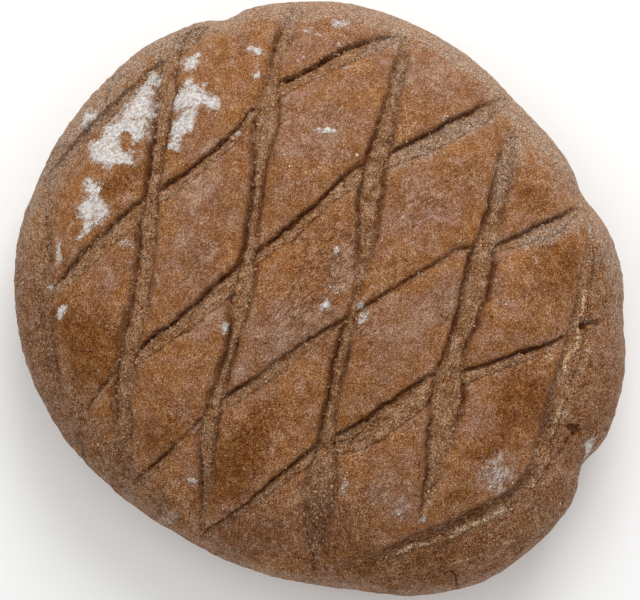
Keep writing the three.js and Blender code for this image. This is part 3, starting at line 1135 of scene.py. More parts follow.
@dataclass(frozen=True)
class LipLine:
    """Painted shade in a crease of a slash: how far inside the lip, its soft shade, its dark core
    and strength.
    """

    name: str
    inside: float
    wide: float
    thin: float
    strength: float


@dataclass(frozen=True)
class CrustFinish:
    """Toasted rye crust: matt and sandy, rust-brown where it baked hardest.

    Baking leaves a suede-like skin of fine light and dark grains, a pale bloom where
    flour was brushed thin, and open crumb of the same brown in the slashes. Sizes end
    in mm. Colours come first, then sizes, then how much of each noise goes into the
    grain, the specks, the flour and the relief.
    """

    toast: str = "#976435"
    mauve: str = "#8a634b"
    rust: str = "#78471c"
    bloom: str = "#ab876a"
    speck: str = "#dbc1a6"
    crumb: str = "#956b45"
    # Pale torn crumb along the raised ridges, partly a painted highlight on their crests.
    ridge: str = "#c8a273"
    # Painted shade under the slash lips and about the seams, then a darker painted shadow for the
    # cores of creases and cracks.
    gloom: str = "#5c300d"
    painted_crease_shadow: str = "#451a04"
    flour: str = "#ecedee"
    flour_grey: str = "#cdbdb2"
    dust: str = "#d0b6a0"
    dust_grey: str = "#43382f"
    sand_mm: float = 0.26
    bits_mm: float = 0.9
    stir_mm: tuple[float, float] = (0.9, 0.8)
    thread_mm: tuple[float, float] = (6.0, 0.8)
    thread_swing: float = 2.4
    thread_break: float = 1.2
    fray: float = 0.8
    wrinkle_mm: tuple[float, float] = (8.0, 2.6)
    wrinkle_turn: float = 40.0
    noise_roughness: float = 0.62
    roughness: float = 0.7
    specular: float = 0.1
    bump_strength: float = 0.9
    bump_mm: float = 0.45
    # Grain multiplies each colour channel by its power, raised to a value. The value has
    # a middle and noises, a gain that the fields raise or lower, and an upper limit.
    sand_centre: float = -1.25
    sand: Shares = (("sand_one", 2.1), ("fine", 0.75), ("coarse", 0.8), ("mottle", 2.0))
    gain: float = 0.96
    # The painted shade also strengthens the grain, and painted shade darkens the fine wrinkles.
    gains: Shares = (("crumbly", 0.22), ("rust", 0.3), ("shade", 1.1), ("bloom", -0.2))
    hairline_dark: float = -0.45
    brightest: float = 1.05
    powers: tuple[float, float, float] = (2.1, 3.0, 5.0)
    # Where pale specks of bran are more likely.
    luck: Shares = (("crumbly", 0.12), ("shade", 0.14), ("dust", 0.18))
    # How far the dark creases stray from their lines.
    crevice_shift: float = 0.3
    lip_shift: float = 0.9
    # Flour: how raggedly it ends, how thickly it covers, and its grey.
    swing_centre: float = -0.25
    swing: Shares = (("sand_two", 0.5), ("broken", 0.9), ("cloud", 0.6))
    veil_centre: float = 0.48
    veil: Shares = (("sand_three", 0.4), ("veil", 1.2))
    thinnest_veil: float = 0.28
    thickest_powder: float = 0.9
    flour_greying: float = 0.4
    # Relief of the skin, of the pores in the crumb and of the flour.
    heights: Shares = (("fine", 0.3), ("coarse", 0.8), ("mottle", 1.2), ("hairline", -1.0))
    pores: float = 0.9
    powder_height: float = 0.5
    patterns: tuple[tuple[str, Pattern], ...] = (
        ("fray", Pattern(3.5, 5.0, 1.6)),
        ("patch", Pattern(14.0, 6.0, 2.2)),
        ("cloud", Pattern(7.0, 7.0, 2.4)),
        ("tint", Pattern(9.0, 5.0, 3.0)),
        ("mottle", Pattern(4.5, 6.0, 1.0)),
        ("coarse", Pattern(1.4, 4.0, 1.0)),
        ("fine", Pattern(0.6, 3.0, 1.0)),
        ("shift", Pattern(1.5, 4.0, 2.2)),
        ("broken", Pattern(1.9, 4.0, 2.2)),
        ("veil", Pattern(1.3, 3.0, 2.4)),
    )
    lip_lines: tuple[LipLine, ...] = (
        LipLine("long_shaded", 0.8, 2.4, 0.45, 0.7),
        LipLine("long_lit", 0.7, 2.1, 0.42, 0.6),
        LipLine("slant_shaded", 0.6, 1.9, 0.42, 0.92),
        LipLine("slant_lit", 0.5, 1.0, 0.4, 0.5),
    )

    def material(self) -> bpy.types.Material:
        """Builds the crust's material, from its broad tones up to the flour on it.

        Returns:
            The material.
        """
        made = bpy.data.materials.new("toasted_rye_crust")
        made.use_nodes = True
        made.node_tree.nodes.clear()
        nodes = Nodes(made.node_tree)
        at = self.fields(nodes)
        colour = self.tones(nodes, at)
        colour = self.grains(nodes, at, colour)
        colour = self.lips(nodes, at, colour)
        colour, powder = self.flour_over(nodes, at, colour)
        shine = {0: at["shut"], 1: -self.specular, 2: self.specular}
        shader = nodes.add(
            "ShaderNodeBsdfPrincipled",
            {
                "Base Color": colour,
                "Roughness": self.roughness,
                "Specular IOR Level": nodes.add(MATH, shine, operation=TIMES_PLUS),
                "Normal": self.relief(nodes, at, powder),
            },
        )
        nodes.add("ShaderNodeOutputMaterial", {"Surface": shader})
        return made

    def add_up(
        self,
        nodes: Nodes,
        at: dict[str, bpy.types.NodeSocket],
        total: bpy.types.NodeSocket | float,
        shares: Shares,
    ) -> bpy.types.NodeSocket:
        """Adds shares of what the material reads to a total.

        Args:
            nodes: the material's nodes.
            at: what the material reads. See fields.
            total: what the sum begins with.
            shares: how much of each named field is added.

        Returns:
            The sum's socket.
        """
        for name, share in shares:
            total = nodes.add(MATH, {0: at[name], 1: share, 2: total}, operation=TIMES_PLUS)
        return total

    def fields(self, nodes: Nodes) -> dict[str, bpy.types.NodeSocket]:
        """Lays out what the rest of the material reads.

        Args:
            nodes: the material's nodes.

        Returns:
            Vertex values, noises about zero, and the chances of the sand and the bits.
        """
        place = nodes.add("ShaderNodeTexCoord").node.outputs["Object"]
        at = {}
        for name in MASK_NAMES:
            at[name] = nodes.add(READ, attribute_name=name).node.outputs["Fac"]
        for name, pattern in self.patterns:
            settings = {
                "Vector": place,
                "Scale": per_mm(pattern.size),
                "Detail": pattern.detail,
                "Roughness": self.noise_roughness,
            }
            swing = {0: nodes.add(NOISE, settings), 1: pattern.swing, 2: -0.5 * pattern.swing}
            at[name] = nodes.add(MATH, swing, operation=TIMES_PLUS)
        length, width = self.thread_mm
        slash = nodes.add("ShaderNodeCombineXYZ", {0: at["along"], 1: at["across"]})
        shrink = {0: slash, 1: (1 / length, 1 / width, 0.0)}
        slash = nodes.add("ShaderNodeVectorMath", shrink, operation="MULTIPLY")
        torn = nodes.add(NOISE, {"Vector": slash, "Scale": 1.0, "Detail": 3.0})
        swing = {0: torn, 1: self.thread_swing, 2: -0.5 * self.thread_swing}
        at["threads"] = nodes.add(MATH, swing, operation=TIMES_PLUS)
        length, width = self.wrinkle_mm
        turned = {
            "Vector": place,
            "Rotation": (0.0, 0.0, math.radians(self.wrinkle_turn)),
            "Scale": (length * MM, width * MM, length * MM),
        }
        turned = nodes.add("ShaderNodeMapping", turned, vector_type="TEXTURE")
        folds = {"Vector": turned, "Scale": 1.0, "Detail": 3.0, "Distortion": 0.6}
        folds = nodes.add(MATH, {0: nodes.add(NOISE, folds), 1: 0.5}, operation="SUBTRACT")
        folds = nodes.add(MATH, {0: folds}, operation="ABSOLUTE")
        limits = {"Value": folds, "From Min": 0.05, "From Max": 0.005, "To Max": at["wrinkled"]}
        at["hairline"] = nodes.add(RANGE, limits, interpolation_type=EASE)
        size, reach = self.stir_mm
        stir = nodes.add(NOISE, {"Vector": place, "Scale": per_mm(size), "Detail": 2.0})
        stirred = {0: stir.node.outputs["Color"], 1: (reach * MM,) * 3, 2: place}
        loose = nodes.add("ShaderNodeVectorMath", stirred, operation=TIMES_PLUS)
        for name, size in (("sand", self.sand_mm), ("bits", self.bits_mm)):
            cells = nodes.add(CELLS, {"Vector": loose, "Scale": per_mm(size)})
            chance = nodes.add(SPLIT, {0: cells.node.outputs["Color"]}).node
            at[name] = cells
            at[name + "_one"], at[name + "_two"], at[name + "_three"] = chance.outputs
        torn = self.add_up(nodes, at, at["torn"], (("fray", self.fray),))
        low_high = {"Value": torn, "From Min": 0.1, "From Max": 0.8}
        at["crumbly"] = nodes.add(RANGE, low_high, interpolation_type=EASE)
        return at

    def tones(self, nodes: Nodes, at: dict[str, bpy.types.NodeSocket]) -> bpy.types.NodeSocket:
        """Broad tones of skin and crumb, before their grain.

        Each layer has a colour, a strength, what makes it uneven, where it begins and
        is full, and how far it covers what lies under it.

        Args:
            nodes: the material's nodes.
            at: what the material reads. See fields.

        Returns:
            The colour socket.
        """
        layers = (
            (self.mauve, at["tint"], at["bloom"], -0.7, 1.0, 0.9),
            (self.rust, at["rust"], at["patch"], 0.15, 0.9, 1.0),
            (self.bloom, at["bloom"], at["cloud"], 0.2, 1.2, 0.75),
            (self.crumb, at["crumbly"], 0.0, 0.0, 1.0, 0.75),
            (self.ridge, at["pale"], at["broken"], 0.2, 0.85, 0.8),
        )
        colour = linear(self.toast)
        for over, strength, uneven, low, high, peak in layers:
            level = nodes.add(MATH, {0: strength, 1: uneven})
            limits = {"Value": level, "From Min": low, "From Max": high, "To Max": peak}
            share = nodes.add(RANGE, limits, interpolation_type=EASE)
            colour = nodes.add(MIX, {0: share, 6: colour, 7: linear(over)}, data_type="RGBA")
        return colour

    def grains(
        self,
        nodes: Nodes,
        at: dict[str, bpy.types.NodeSocket],
        colour: bpy.types.NodeSocket,
    ) -> bpy.types.NodeSocket:
        """Sandy grain of the skin, coarser and stronger where the crumb shows.

        A grain is flour or bran, greyer than the crust, so it lifts blue more than red.

        Args:
            nodes: the material's nodes.
            at: what the material reads. See fields.
            colour: the broad tones.

        Returns:
            The colour socket.
        """
        value = self.add_up(nodes, at, self.sand_centre, self.sand)
        gain = self.add_up(nodes, at, self.gain, self.gains)
        streak = nodes.add(MATH, {0: at["threads"], 1: at["crumbly"]}, operation="MULTIPLY")
        value = nodes.add(MATH, {0: value, 1: gain, 2: streak}, operation=TIMES_PLUS)
        value = self.add_up(nodes, at, value, (("hairline", self.hairline_dark),))
        value = nodes.add(MATH, {0: value, 1: self.brightest}, operation="MINIMUM")
        channels = {}
        for key, power in enumerate(self.powers):
            channels[key] = nodes.add(MATH, {0: power, 1: value}, operation="POWER")
        grain = nodes.add(JOIN, channels)
        colour = nodes.add(
            MIX, {0: 1.0, 6: colour, 7: grain}, data_type="RGBA", blend_type="MULTIPLY"
        )
        luck = self.add_up(nodes, at, at["bits_two"], self.luck)
        chosen = nodes.add(RANGE, {"Value": luck, "From Min": 0.88, "From Max": 1.0})
        limits = {"Value": at["bits"], "From Min": 0.4, "From Max": 0.1, "To Max": 0.6}
        round_off = nodes.add(RANGE, limits)
        share = nodes.add(MATH, {0: chosen, 1: round_off}, operation="MULTIPLY")
        return nodes.add(MIX, {0: share, 6: colour, 7: linear(self.speck)}, data_type="RGBA")

    def lips(
        self,
        nodes: Nodes,
        at: dict[str, bpy.types.NodeSocket],
        colour: bpy.types.NodeSocket,
    ) -> bpy.types.NodeSocket:
        """Painted shade under the lips of the slashes, with painted dark broken cores in their
        creases and in the cracks.

        Each layer has a colour, a strength, how broken it is, where it begins and is
        full, and how far it covers what lies under it. The last one's share is kept,
        because a deep crease doesn't shine.

        Args:
            nodes: the material's nodes.
            at: what the material reads. See fields.
            colour: the colour of skin and crumb.

        Returns:
            The colour socket.
        """
        off = self.add_up(nodes, at, at["crack_off"], (("shift", self.crevice_shift),))
        off = nodes.add(MATH, {0: off}, operation="ABSOLUTE")
        limits = {"Value": off, "From Min": 0.75, "From Max": 0.05, "To Max": at["crack"]}
        core = nodes.add(RANGE, limits, interpolation_type=EASE)
        soft = at["shade"]
        for line in self.lip_lines:
            within = nodes.add(MATH, {0: at[line.name], 1: line.inside}, operation="SUBTRACT")
            within = self.add_up(nodes, at, within, (("shift", self.lip_shift),))
            away = nodes.add(MATH, {0: within}, operation="ABSOLUTE")
            gloom = at[line.name + "_gloom"]
            limits = {"Value": away, "From Min": line.wide, "From Max": 0.0, "To Max": gloom}
            near = nodes.add(RANGE, limits, interpolation_type=EASE)
            soft = nodes.add(MATH, {0: soft, 1: near}, operation="MAXIMUM")
            peak = nodes.add(MATH, {0: gloom, 1: line.strength}, operation="MULTIPLY")
            limits = {"Value": away, "From Min": line.thin, "From Max": 0.1, "To Max": peak}
            thin = nodes.add(RANGE, limits, interpolation_type=EASE)
            core = nodes.add(MATH, {0: core, 1: thin}, operation="MAXIMUM")
        # Painted soft shade first, then the painted shadow in the crease cores.
        layers = (
            (self.gloom, soft, 0.5, 0.05, 1.0, 0.85),
            (self.painted_crease_shadow, core, 0.95, 0.35, 1.0, 0.9),
        )
        for over, strength, break_up, low, high, peak in layers:
            shares = (("broken", break_up), ("threads", self.thread_break * break_up))
            level = self.add_up(nodes, at, strength, shares)
            limits = {"Value": level, "From Min": low, "From Max": high, "To Max": peak}
            share = nodes.add(RANGE, limits, interpolation_type=EASE)
            colour = nodes.add(MIX, {0: share, 6: colour, 7: linear(over)}, data_type="RGBA")
        at["shut"] = share
        return colour

    def flour_over(
        self,
        nodes: Nodes,
        at: dict[str, bpy.types.NodeSocket],
        colour: bpy.types.NodeSocket,
    ) -> tuple[bpy.types.NodeSocket, bpy.types.NodeSocket]:
        """Thin dusting over the rim, partly a painted pale edge, and clumped dabs of flour.

        Each layer has a pale and a grey, which of the two shows, a strength, how ragged
        it is, and where it begins and is full.

        Args:
            nodes: the material's nodes.
            at: what the material reads. See fields.
            colour: the colour under the flour.

        Returns:
            The colour socket and the flour mask.
        """
        swing = self.add_up(nodes, at, self.swing_centre, self.swing)
        veil = self.add_up(nodes, at, self.veil_centre, self.veil)
        veil = nodes.add(MATH, {0: veil, 1: self.thinnest_veil}, operation="MAXIMUM")
        grit = nodes.add(RANGE, {"Value": at["fine"], "From Min": 0.1, "From Max": -0.1})
        limits = {"Value": at["flour"], "From Min": 0.8, "From Max": 0.35}
        thin = nodes.add(RANGE, limits, interpolation_type=EASE)
        thin = self.add_up(nodes, at, thin, (("sand_three", self.flour_greying),))
        layers = (
            (self.dust, self.dust_grey, grit, at["dust"], 1.3, 0.25, 1.05),
            (self.flour, self.flour_grey, thin, at["flour"], 1.1, 0.25, 0.7),
        )
        for pale, grey, which, strength, loose, low, high in layers:
            powder = {0: swing, 1: loose, 2: strength}
            powder = nodes.add(MATH, powder, operation=TIMES_PLUS)
            limits = {"Value": powder, "From Min": low, "From Max": high, "To Max": veil}
            share = nodes.add(RANGE, limits, interpolation_type=EASE)
            share = nodes.add(MATH, {0: share, 1: self.thickest_powder}, operation="MINIMUM")
            each = {0: which, 6: linear(pale), 7: linear(grey)}
            over = nodes.add(MIX, each, data_type="RGBA")
            colour = nodes.add(MIX, {0: share, 6: colour, 7: over}, data_type="RGBA")
        return colour, share

    def relief(
        self,
        nodes: Nodes,
        at: dict[str, bpy.types.NodeSocket],
        powder: bpy.types.NodeSocket,
    ) -> bpy.types.NodeSocket:
        """Fine sandy relief, with pores in the crumb and grains in the flour.

        Args:
            nodes: the material's nodes.
            at: what the material reads. See fields.
            powder: flour mask.

        Returns:
            The normal socket.
        """
        height = nodes.add(MATH, {0: at["threads"], 1: at["crumbly"]}, operation="MULTIPLY")
        height = self.add_up(nodes, at, height, self.heights)
        rough = nodes.add(MATH, {0: at["broken"], 1: at["crumbly"]}, operation="MULTIPLY")
        for layer, share in ((rough, self.pores), (powder, self.powder_height)):
            height = nodes.add(MATH, {0: layer, 1: share, 2: height}, operation=TIMES_PLUS)
        bump = {"Strength": self.bump_strength, "Distance": self.bump_mm * MM, "Height": height}
        return nodes.add("ShaderNodeBump", bump)


# --- the crust mesh ---------------------------------------------------------------------


@dataclass(frozen=True)
class Lumps:
    """Uneven relief: its height and lump size in millimetres, its octaves and its seed."""

    height: float
    size: float
    octaves: int
    seed: float

    def pattern(self, points: np.ndarray) -> np.ndarray:
        """The relief's noise, about -1 to 1, at points in millimetres."""
        return fractal(points / self.size + self.seed, self.octaves)


@dataclass(frozen=True)
class Zones:
    """How far each point belongs to a part of the loaf, from 0 to 1.

    The wall stands below the shoulder, the base lies at the foot, and the band is the
    rough strip outside the torn slash. Left is the worn flank, low_left its lower half,
    which takes painted shade, lit the side towards the key light, where the rim is dusted
    most and painted paler, and rim the ring at the dome's edge.
    """

    wall: np.ndarray
    base: np.ndarray
    band: np.ndarray
    left: np.ndarray
    low_left: np.ndarray
    lit: np.ndarray
    rim: np.ndarray

    def shares(self, which: Shares) -> list[np.ndarray]:
        """Some of the zones, each times its share."""
        return [share * getattr(self, name) for name, share in which]


@dataclass
class RyeCrust:
    """The whole loaf as one mesh, from its dome to its baked underside.

    Lengths are in millimetres. A pair holds where something begins and where it is
    full. The tuples of shares say how strongly each zone shows in a vertex value.
    """

    body: LoafBody = field(default_factory=LoafBody)
    finish: CrustFinish = field(default_factory=CrustFinish)
    # Seeds of the first slash of each kind. The next ones count on from there.
    long_seed: float = 3.1
    torn_seed: float = 41.7
    slant_seed: float = 61.3
    # How finely it is meshed.
    ball_detail: int = 7
    fine_reach: float = 3.2
    seam_reach: float = 1.8
    # Its relief: dips towards the slashes, crests, torn crumb and uneven skin.
    still_height: float = 1.5
    wide_dip: float = 1.7
    wide_reach: float = 10.0
    lip_dip: float = 0.65
    lip_reach: float = 3.2
    dip_power: float = 0.25
    grounded_height: float = 6.0
    crest_swing: float = 0.8
    thread_lump: float = 0.5
    crumb: Lumps = Lumps(0.8, 3.4, 3, 2.5)
    skin: Lumps = Lumps(0.5, 17.0, 3, 8.5)
    skin_ripple: Lumps = Lumps(0.22, 6.5, 2, 31.5)
    rim_ripple: Lumps = Lumps(0.3, 2.8, 2, 12.5)
    rim_height: tuple[float, float] = (50, 32)
    # Where its zones lie: heights, shares of the radius, cosines and sines.
    wall_height: tuple[float, float] = (36, 18)
    base_height: tuple[float, float] = (1.5, 0.2)
    left_share: tuple[float, float] = (0.82, 0.93)
    left_east: tuple[float, float] = (0.0, -0.8)
    low_north: tuple[float, float] = (0.4, -0.1)
    lit_direction: float = 80.0
    lit_spread: tuple[float, float] = (-0.3, 0.5)
    rim_begins: float = 0.95
    rim_wider: float = 0.13
    rim_full: float = 1.01
    band_low_end: tuple[float, float] = (-0.1, 0.15)
    band_high_end: tuple[float, float] = (0.05, -0.1)
    band_past_slash: tuple[float, float] = (-1.0, 2.0)
    band_height: tuple[float, float] = (10, 30)
    in_slash: float = 1.5
    # What the zones do to the vertex values.
    torn_zones: Shares = (("wall", 0.35), ("band", 0.42), ("left", 0.55))
    # The torn band and the lower left are darkened with painted shade.
    shade_zones: Shares = (("band", 0.42), ("low_left", 0.48))
    dust_zones: Shares = (("left", 0.2), ("low_left", -0.1), ("wall", 0.15))
    # The rim's pale dust is partly a painted pale edge, stronger and wider on the side lit by the
    # key light; the lower left and the wall get less.
    rim_dust_and_light: float = 0.7
    lit_rim_dust: float = 0.3
    rim_bare: Shares = (("low_left", 0.35), ("wall", 0.6))
    base_dust: float = 0.35
    # Painted shade on the base, where it also baked darker.
    base_shade: float = 0.3
    band_rust: float = 0.3
    wrinkles: float = 0.1
    crossed: float = 0.85
    # Dabs of flour: how their outlines stray, and the bare crust round them.
    flour_stir: tuple[Lumps, Lumps] = (Lumps(2.4, 7.0, 2, 5.5), Lumps(2.4, 7.0, 2, 17.5))
    flour_height: float = 20.0
    bare_flour: float = 0.5
    bare_below: float = 0.3

    def slashes(self) -> list[Slash]:
        """Every slash, laid on the crust.

        Returns:
            The long slashes, the torn one and the slanting ones.
        """
        made = []
        for i, controls in enumerate(LONG_SLASHES):
            made.append(Slash(Cut.LONG, controls, self.long_seed + i))
        made.append(Slash(Cut.TORN, TORN_SLASH, self.torn_seed))
        for i, controls in enumerate(SLANT_SLASHES):
            made.append(Slash(Cut.SLANT, controls, self.slant_seed + i))
        for slash in made:
            slash.lay(self.body)
        return made

    def read(self, points: np.ndarray, slashes: list[Slash]) -> Reading:
        """Measures the slashes at points of the smooth crust.

        Args:
            points: rows of x, y, z in millimetres.
            slashes: the slashes, laid.

        Returns:
            What they do at each point.
        """
        reading = Reading.empty(len(points))
        for slash in slashes:
            slash.read(points, reading)
        return reading

    def cracks(self, points: np.ndarray) -> Cracks:
        """Measures the seams at points of the smooth crust.

        Args:
            points: rows of x, y, z in millimetres.

        Returns:
            What they do at each point.
        """
        found = Cracks.empty(len(points))
        for seam in SEAMS:
            seam.read(points, found)
        return found

    def build(self) -> "Skin":
        """Builds the crust and dresses it.

        Returns:
            The finished crust's points, for what lies on it.
        """
        slashes = self.slashes()
        for seam in SEAMS:
            seam.lay(self.body)
        bm = bmesh.new()
        bmesh.ops.create_icosphere(bm, subdivisions=self.ball_detail, radius=1.0)
        smooth = self.body.wrap(np.array([v.co[:] for v in bm.verts]))
        place_verts(bm, smooth)
        self.refine(bm, self.read(smooth, slashes), self.cracks(smooth))
        bm.normal_update()
        smooth = np.array([v.co[:] for v in bm.verts])
        normal = np.array([v.normal[:] for v in bm.verts])
        reading = self.read(smooth, slashes)
        cracks = self.cracks(smooth)
        masks = self.masks(smooth, reading, cracks)
        move = self.push(smooth, reading, masks) + cracks.push
        move = move * smoothstep(0.0, self.still_height, smooth[:, 2])
        place_verts(bm, smooth + normal * move[:, None])
        return self.finish_mesh(bm, masks)

    def refine(self, bm: bmesh.types.BMesh, reading: Reading, cracks: Cracks) -> None:
        """Halves the edges in and beside the slashes and along the seams.

        Args:
            bm: the smooth crust, refined in place.
            reading: what the slashes do at its vertices.
            cracks: what the seams do there.
        """
        close = (reading.edge < self.fine_reach) | (cracks.apart < self.seam_reach)
        bm.verts.ensure_lookup_table()
        edges = [e for e in bm.edges if close[e.verts[0].index] and close[e.verts[1].index]]
        bmesh.ops.subdivide_edges(bm, edges=edges, cuts=1, use_grid_fill=False)
        bmesh.ops.triangulate(bm, faces=[f for f in bm.faces if len(f.verts) > 3])

    def zones(self, smooth: np.ndarray) -> Zones:
        """Works out which parts of the loaf each point of the smooth crust belongs to.

        Args:
            smooth: points of the smooth crust.

        Returns:
            The zones.
        """
        height = smooth[:, 2]
        angle = np.arctan2(smooth[:, 1], smooth[:, 0])
        share = np.hypot(smooth[:, 0], smooth[:, 1]) / self.body.plan_radius(angle)
        left = smoothstep(*self.left_share, share) * smoothstep(*self.left_east, np.cos(angle))
        turned = np.cos(angle - math.radians(self.lit_direction))
        lit = smoothstep(*self.lit_spread, turned)
        begins = self.rim_begins - self.rim_wider * lit
        return Zones(
            wall=smoothstep(*self.wall_height, height),
            base=smoothstep(*self.base_height, height),
            band=self.torn_band(smooth, angle),
            left=left,
            low_left=left * smoothstep(*self.low_north, np.sin(angle)),
            lit=lit,
            rim=smoothstep(0.0, 1.0, (share - begins) / (self.rim_full - begins)),
        )

    def masks(
        self, smooth: np.ndarray, reading: Reading, cracks: Cracks
    ) -> dict[str, np.ndarray]:
        """Works out what the material reads at each vertex.

        Args:
            smooth: points of the smooth crust.
            reading: what the slashes do there.
            cracks: what the seams do there.

        Returns:
            Values for each vertex by name.
        """
        zones = self.zones(smooth)
        inside = {}
        for name, lips in (("long", reading.long), ("slant", reading.slant)):
            inside[name] = smoothstep(0.0, self.in_slash, np.minimum(lips.shaded, lips.lit))
        slanted = inside["slant"] > inside["long"]
        # Painted shade: dabs over the lower side, the base, the hollows about the seams, the torn
        # band and the lower left.
        shaded = self.spots(smooth, SHADED) + self.base_shade * zones.base
        torn = [reading.rough, *zones.shares(self.torn_zones)]
        shade = [cracks.shade, shaded, *zones.shares(self.shade_zones)]
        values = {
            "torn": np.maximum.reduce(torn),
            "along": np.where(slanted, reading.slant.along, reading.long.along),
            "across": np.where(slanted, reading.slant.shaded, reading.long.shaded),
            "crack": cracks.dark,
            "crack_off": cracks.off,
            "pale": cracks.pale,
            "shade": np.maximum.reduce(shade),
            "rust": self.spots(smooth, RUST) + self.band_rust * zones.band,
            "bloom": self.spots(smooth, BLOOM),
            "wrinkled": (self.wrinkles + self.spots(smooth, WRINKLED)) * (1 - reading.rough),
            "dust": self.dust(smooth, zones, cracks),
            "flour": self.flour(smooth),
        }
        for name, lips, other in (
            ("long", reading.long, inside["slant"]),
            ("slant", reading.slant, inside["long"]),
        ):
            uncrossed = 1 - self.crossed * other
            values[name + "_shaded"] = lips.shaded
            values[name + "_lit"] = lips.lit
            values[name + "_shaded_gloom"] = lips.shaded_gloom * uncrossed
            values[name + "_lit_gloom"] = lips.lit_gloom * uncrossed
        return values

    def torn_band(self, smooth: np.ndarray, angle: np.ndarray) -> np.ndarray:
        """Rough band between the torn slash and the rim.

        Args:
            smooth: points of the smooth crust.
            angle: their directions in radians.

        Returns:
            How far each point lies in the band, from 0 to 1.
        """
        line = np.array(TORN_SLASH, float)
        turn = np.arctan2(line[:, 1], line[:, 0])
        order = np.argsort(turn)
        inner = np.interp(angle, turn[order], np.hypot(line[order, 0], line[order, 1]))
        past = np.hypot(smooth[:, 0], smooth[:, 1]) - inner
        begins, full = self.band_low_end
        sector = smoothstep(turn.min() + begins, turn.min() + full, angle)
        begins, full = self.band_high_end
        sector = sector * smoothstep(turn.max() + begins, turn.max() + full, angle)
        sector = sector * smoothstep(*self.band_past_slash, past)
        return sector * smoothstep(*self.band_height, smooth[:, 2])

    def dust(self, smooth: np.ndarray, zones: Zones, cracks: Cracks) -> np.ndarray:
        """Strength of the thin dusting at each point, from 0 to 1; at the rim it is partly a
        painted pale edge, strongest on the lit side.

        Args:
            smooth: points of the smooth crust.
            zones: which parts of the loaf they belong to.
            cracks: what the seams do there.

        Returns:
            One strength for each point.
        """
        floury = self.rim_dust_and_light + self.lit_rim_dust * zones.lit
        for bare in zones.shares(self.rim_bare):
            floury = floury * (1 - bare)
        dust = zones.rim * floury
        for zone in zones.shares(self.dust_zones):
            dust = dust + zone
        dusted = self.spots(smooth, DUSTED) + self.base_dust * zones.base
        return np.clip(dust + cracks.dusty + dusted, 0, 1)

    def spots(self, smooth: np.ndarray, dabs: tuple[Dab, ...]) -> np.ndarray:
        """Strongest of some soft ovals at each point."""
        return np.maximum.reduce([dab.over(smooth) for dab in dabs])

    def flour(self, smooth: np.ndarray) -> np.ndarray:
        """Strength of the flour dabs at each point.

        Args:
            smooth: points of the smooth crust.

        Returns:
            Strengths, which fall below zero where no flour lies.
        """
        moved = smooth.copy()
        for axis, stir in enumerate(self.flour_stir):
            moved[:, axis] += stir.height * stir.pattern(smooth)
        bare = np.minimum.reduce([dab.over(moved) for dab in DABS])
        flour = np.maximum(self.spots(moved, DABS) + bare, self.spots(smooth, FLECKS))
        flour = flour * (smooth[:, 2] > self.flour_height)
        return flour - self.bare_flour * smoothstep(self.bare_below, 0.0, flour)

    def push(
        self, smooth: np.ndarray, reading: Reading, masks: dict[str, np.ndarray]
    ) -> np.ndarray:
        """Works out how far each vertex moves out along its normal.

        Args:
            smooth: points of the smooth crust.
            reading: what the slashes do there.
            masks: values for each vertex by name.

        Returns:
            Distances in millimetres.
        """
        height = smooth[:, 2]
        edge = np.maximum(reading.edge, 0)
        dip = self.wide_dip * bell(edge, self.wide_reach)
        dip = dip + self.lip_dip * bell(edge, self.lip_reach)
        dip = dip * self.body.lift(height) ** self.dip_power
        small = self.skin_ripple.pattern(smooth)
        rim = self.rim_ripple.height * smoothstep(*self.rim_height, height)
        skin = self.skin.height * self.skin.pattern(smooth) + self.skin_ripple.height * small
        skin = skin + rim * self.rim_ripple.pattern(smooth)
        skin = smoothstep(0.0, self.grounded_height, height) * skin * (1 - reading.rough)
        torn = np.clip(masks["torn"], 0, 1)
        crumb = self.crumb.height * self.crumb.pattern(smooth) * torn
        crumb = crumb + self.thread_lump * reading.streak * reading.rough
        crest = reading.crest * (1 + self.crest_swing * small)
        return -dip - reading.depth + crest + crumb + skin

    def finish_mesh(self, bm: bmesh.types.BMesh, masks: dict[str, np.ndarray]) -> "Skin":
        """Args:
            bm: the crust in millimetres about the crown.
            masks: values for each vertex by name.

        Returns:
            The finished crust's points.
        """
        x, y = self.body.middle()
        bmesh.ops.translate(bm, verts=bm.verts, vec=(-x, -y, 0))
        bmesh.ops.scale(bm, verts=bm.verts, vec=(MM, MM, MM))
        piece = to_piece(bm, "rye_crust", self.finish.material())
        mesh = piece.data
        for name, values in masks.items():
            set_attribute(mesh, name, values)
        mesh.polygons.foreach_set("use_smooth", [True] * len(mesh.polygons))
        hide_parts("loaf")
        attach(piece, BODY)
        log.info("crust: %d faces", len(mesh.polygons))
        points = np.array([v.co[:] for v in mesh.vertices])
        normals = np.array([v.normal[:] for v in mesh.vertices])
        return Skin(points, normals, masks)


# --- loose flour and crumbs -------------------------------------------------------------


@dataclass(frozen=True)
class GrainFinish:
    """Loose bits of one stuff, a little lighter or darker from bit to bit, and dead matt."""

    name: str
    light: str
    dark: str
    patch_mm: float = 1.2
    darkest: float = 0.35
    lightest: float = 0.65
    roughness: float = 0.95
    specular: float = 0.1

    def material(self) -> bpy.types.Material:
        """Builds the bits' material.

        Returns:
            The material.
        """
        made = bpy.data.materials.new(self.name)
        made.use_nodes = True
        made.node_tree.nodes.clear()
        nodes = Nodes(made.node_tree)
        place = nodes.add("ShaderNodeTexCoord").node.outputs["Object"]
        size = per_mm(self.patch_mm)
        patches = nodes.add(NOISE, {"Vector": place, "Scale": size, "Detail": 3.0})
        limits = {"Value": patches, "From Min": self.darkest, "From Max": self.lightest}
        share = nodes.add(RANGE, limits)
        tones = {0: share, 6: linear(self.dark), 7: linear(self.light)}
        shader = nodes.add(
            "ShaderNodeBsdfPrincipled",
            {
                "Base Color": nodes.add(MIX, tones, data_type="RGBA"),
                "Roughness": self.roughness,
                "Specular IOR Level": self.specular,
            },
        )
        nodes.add("ShaderNodeOutputMaterial", {"Surface": shader})
        return made


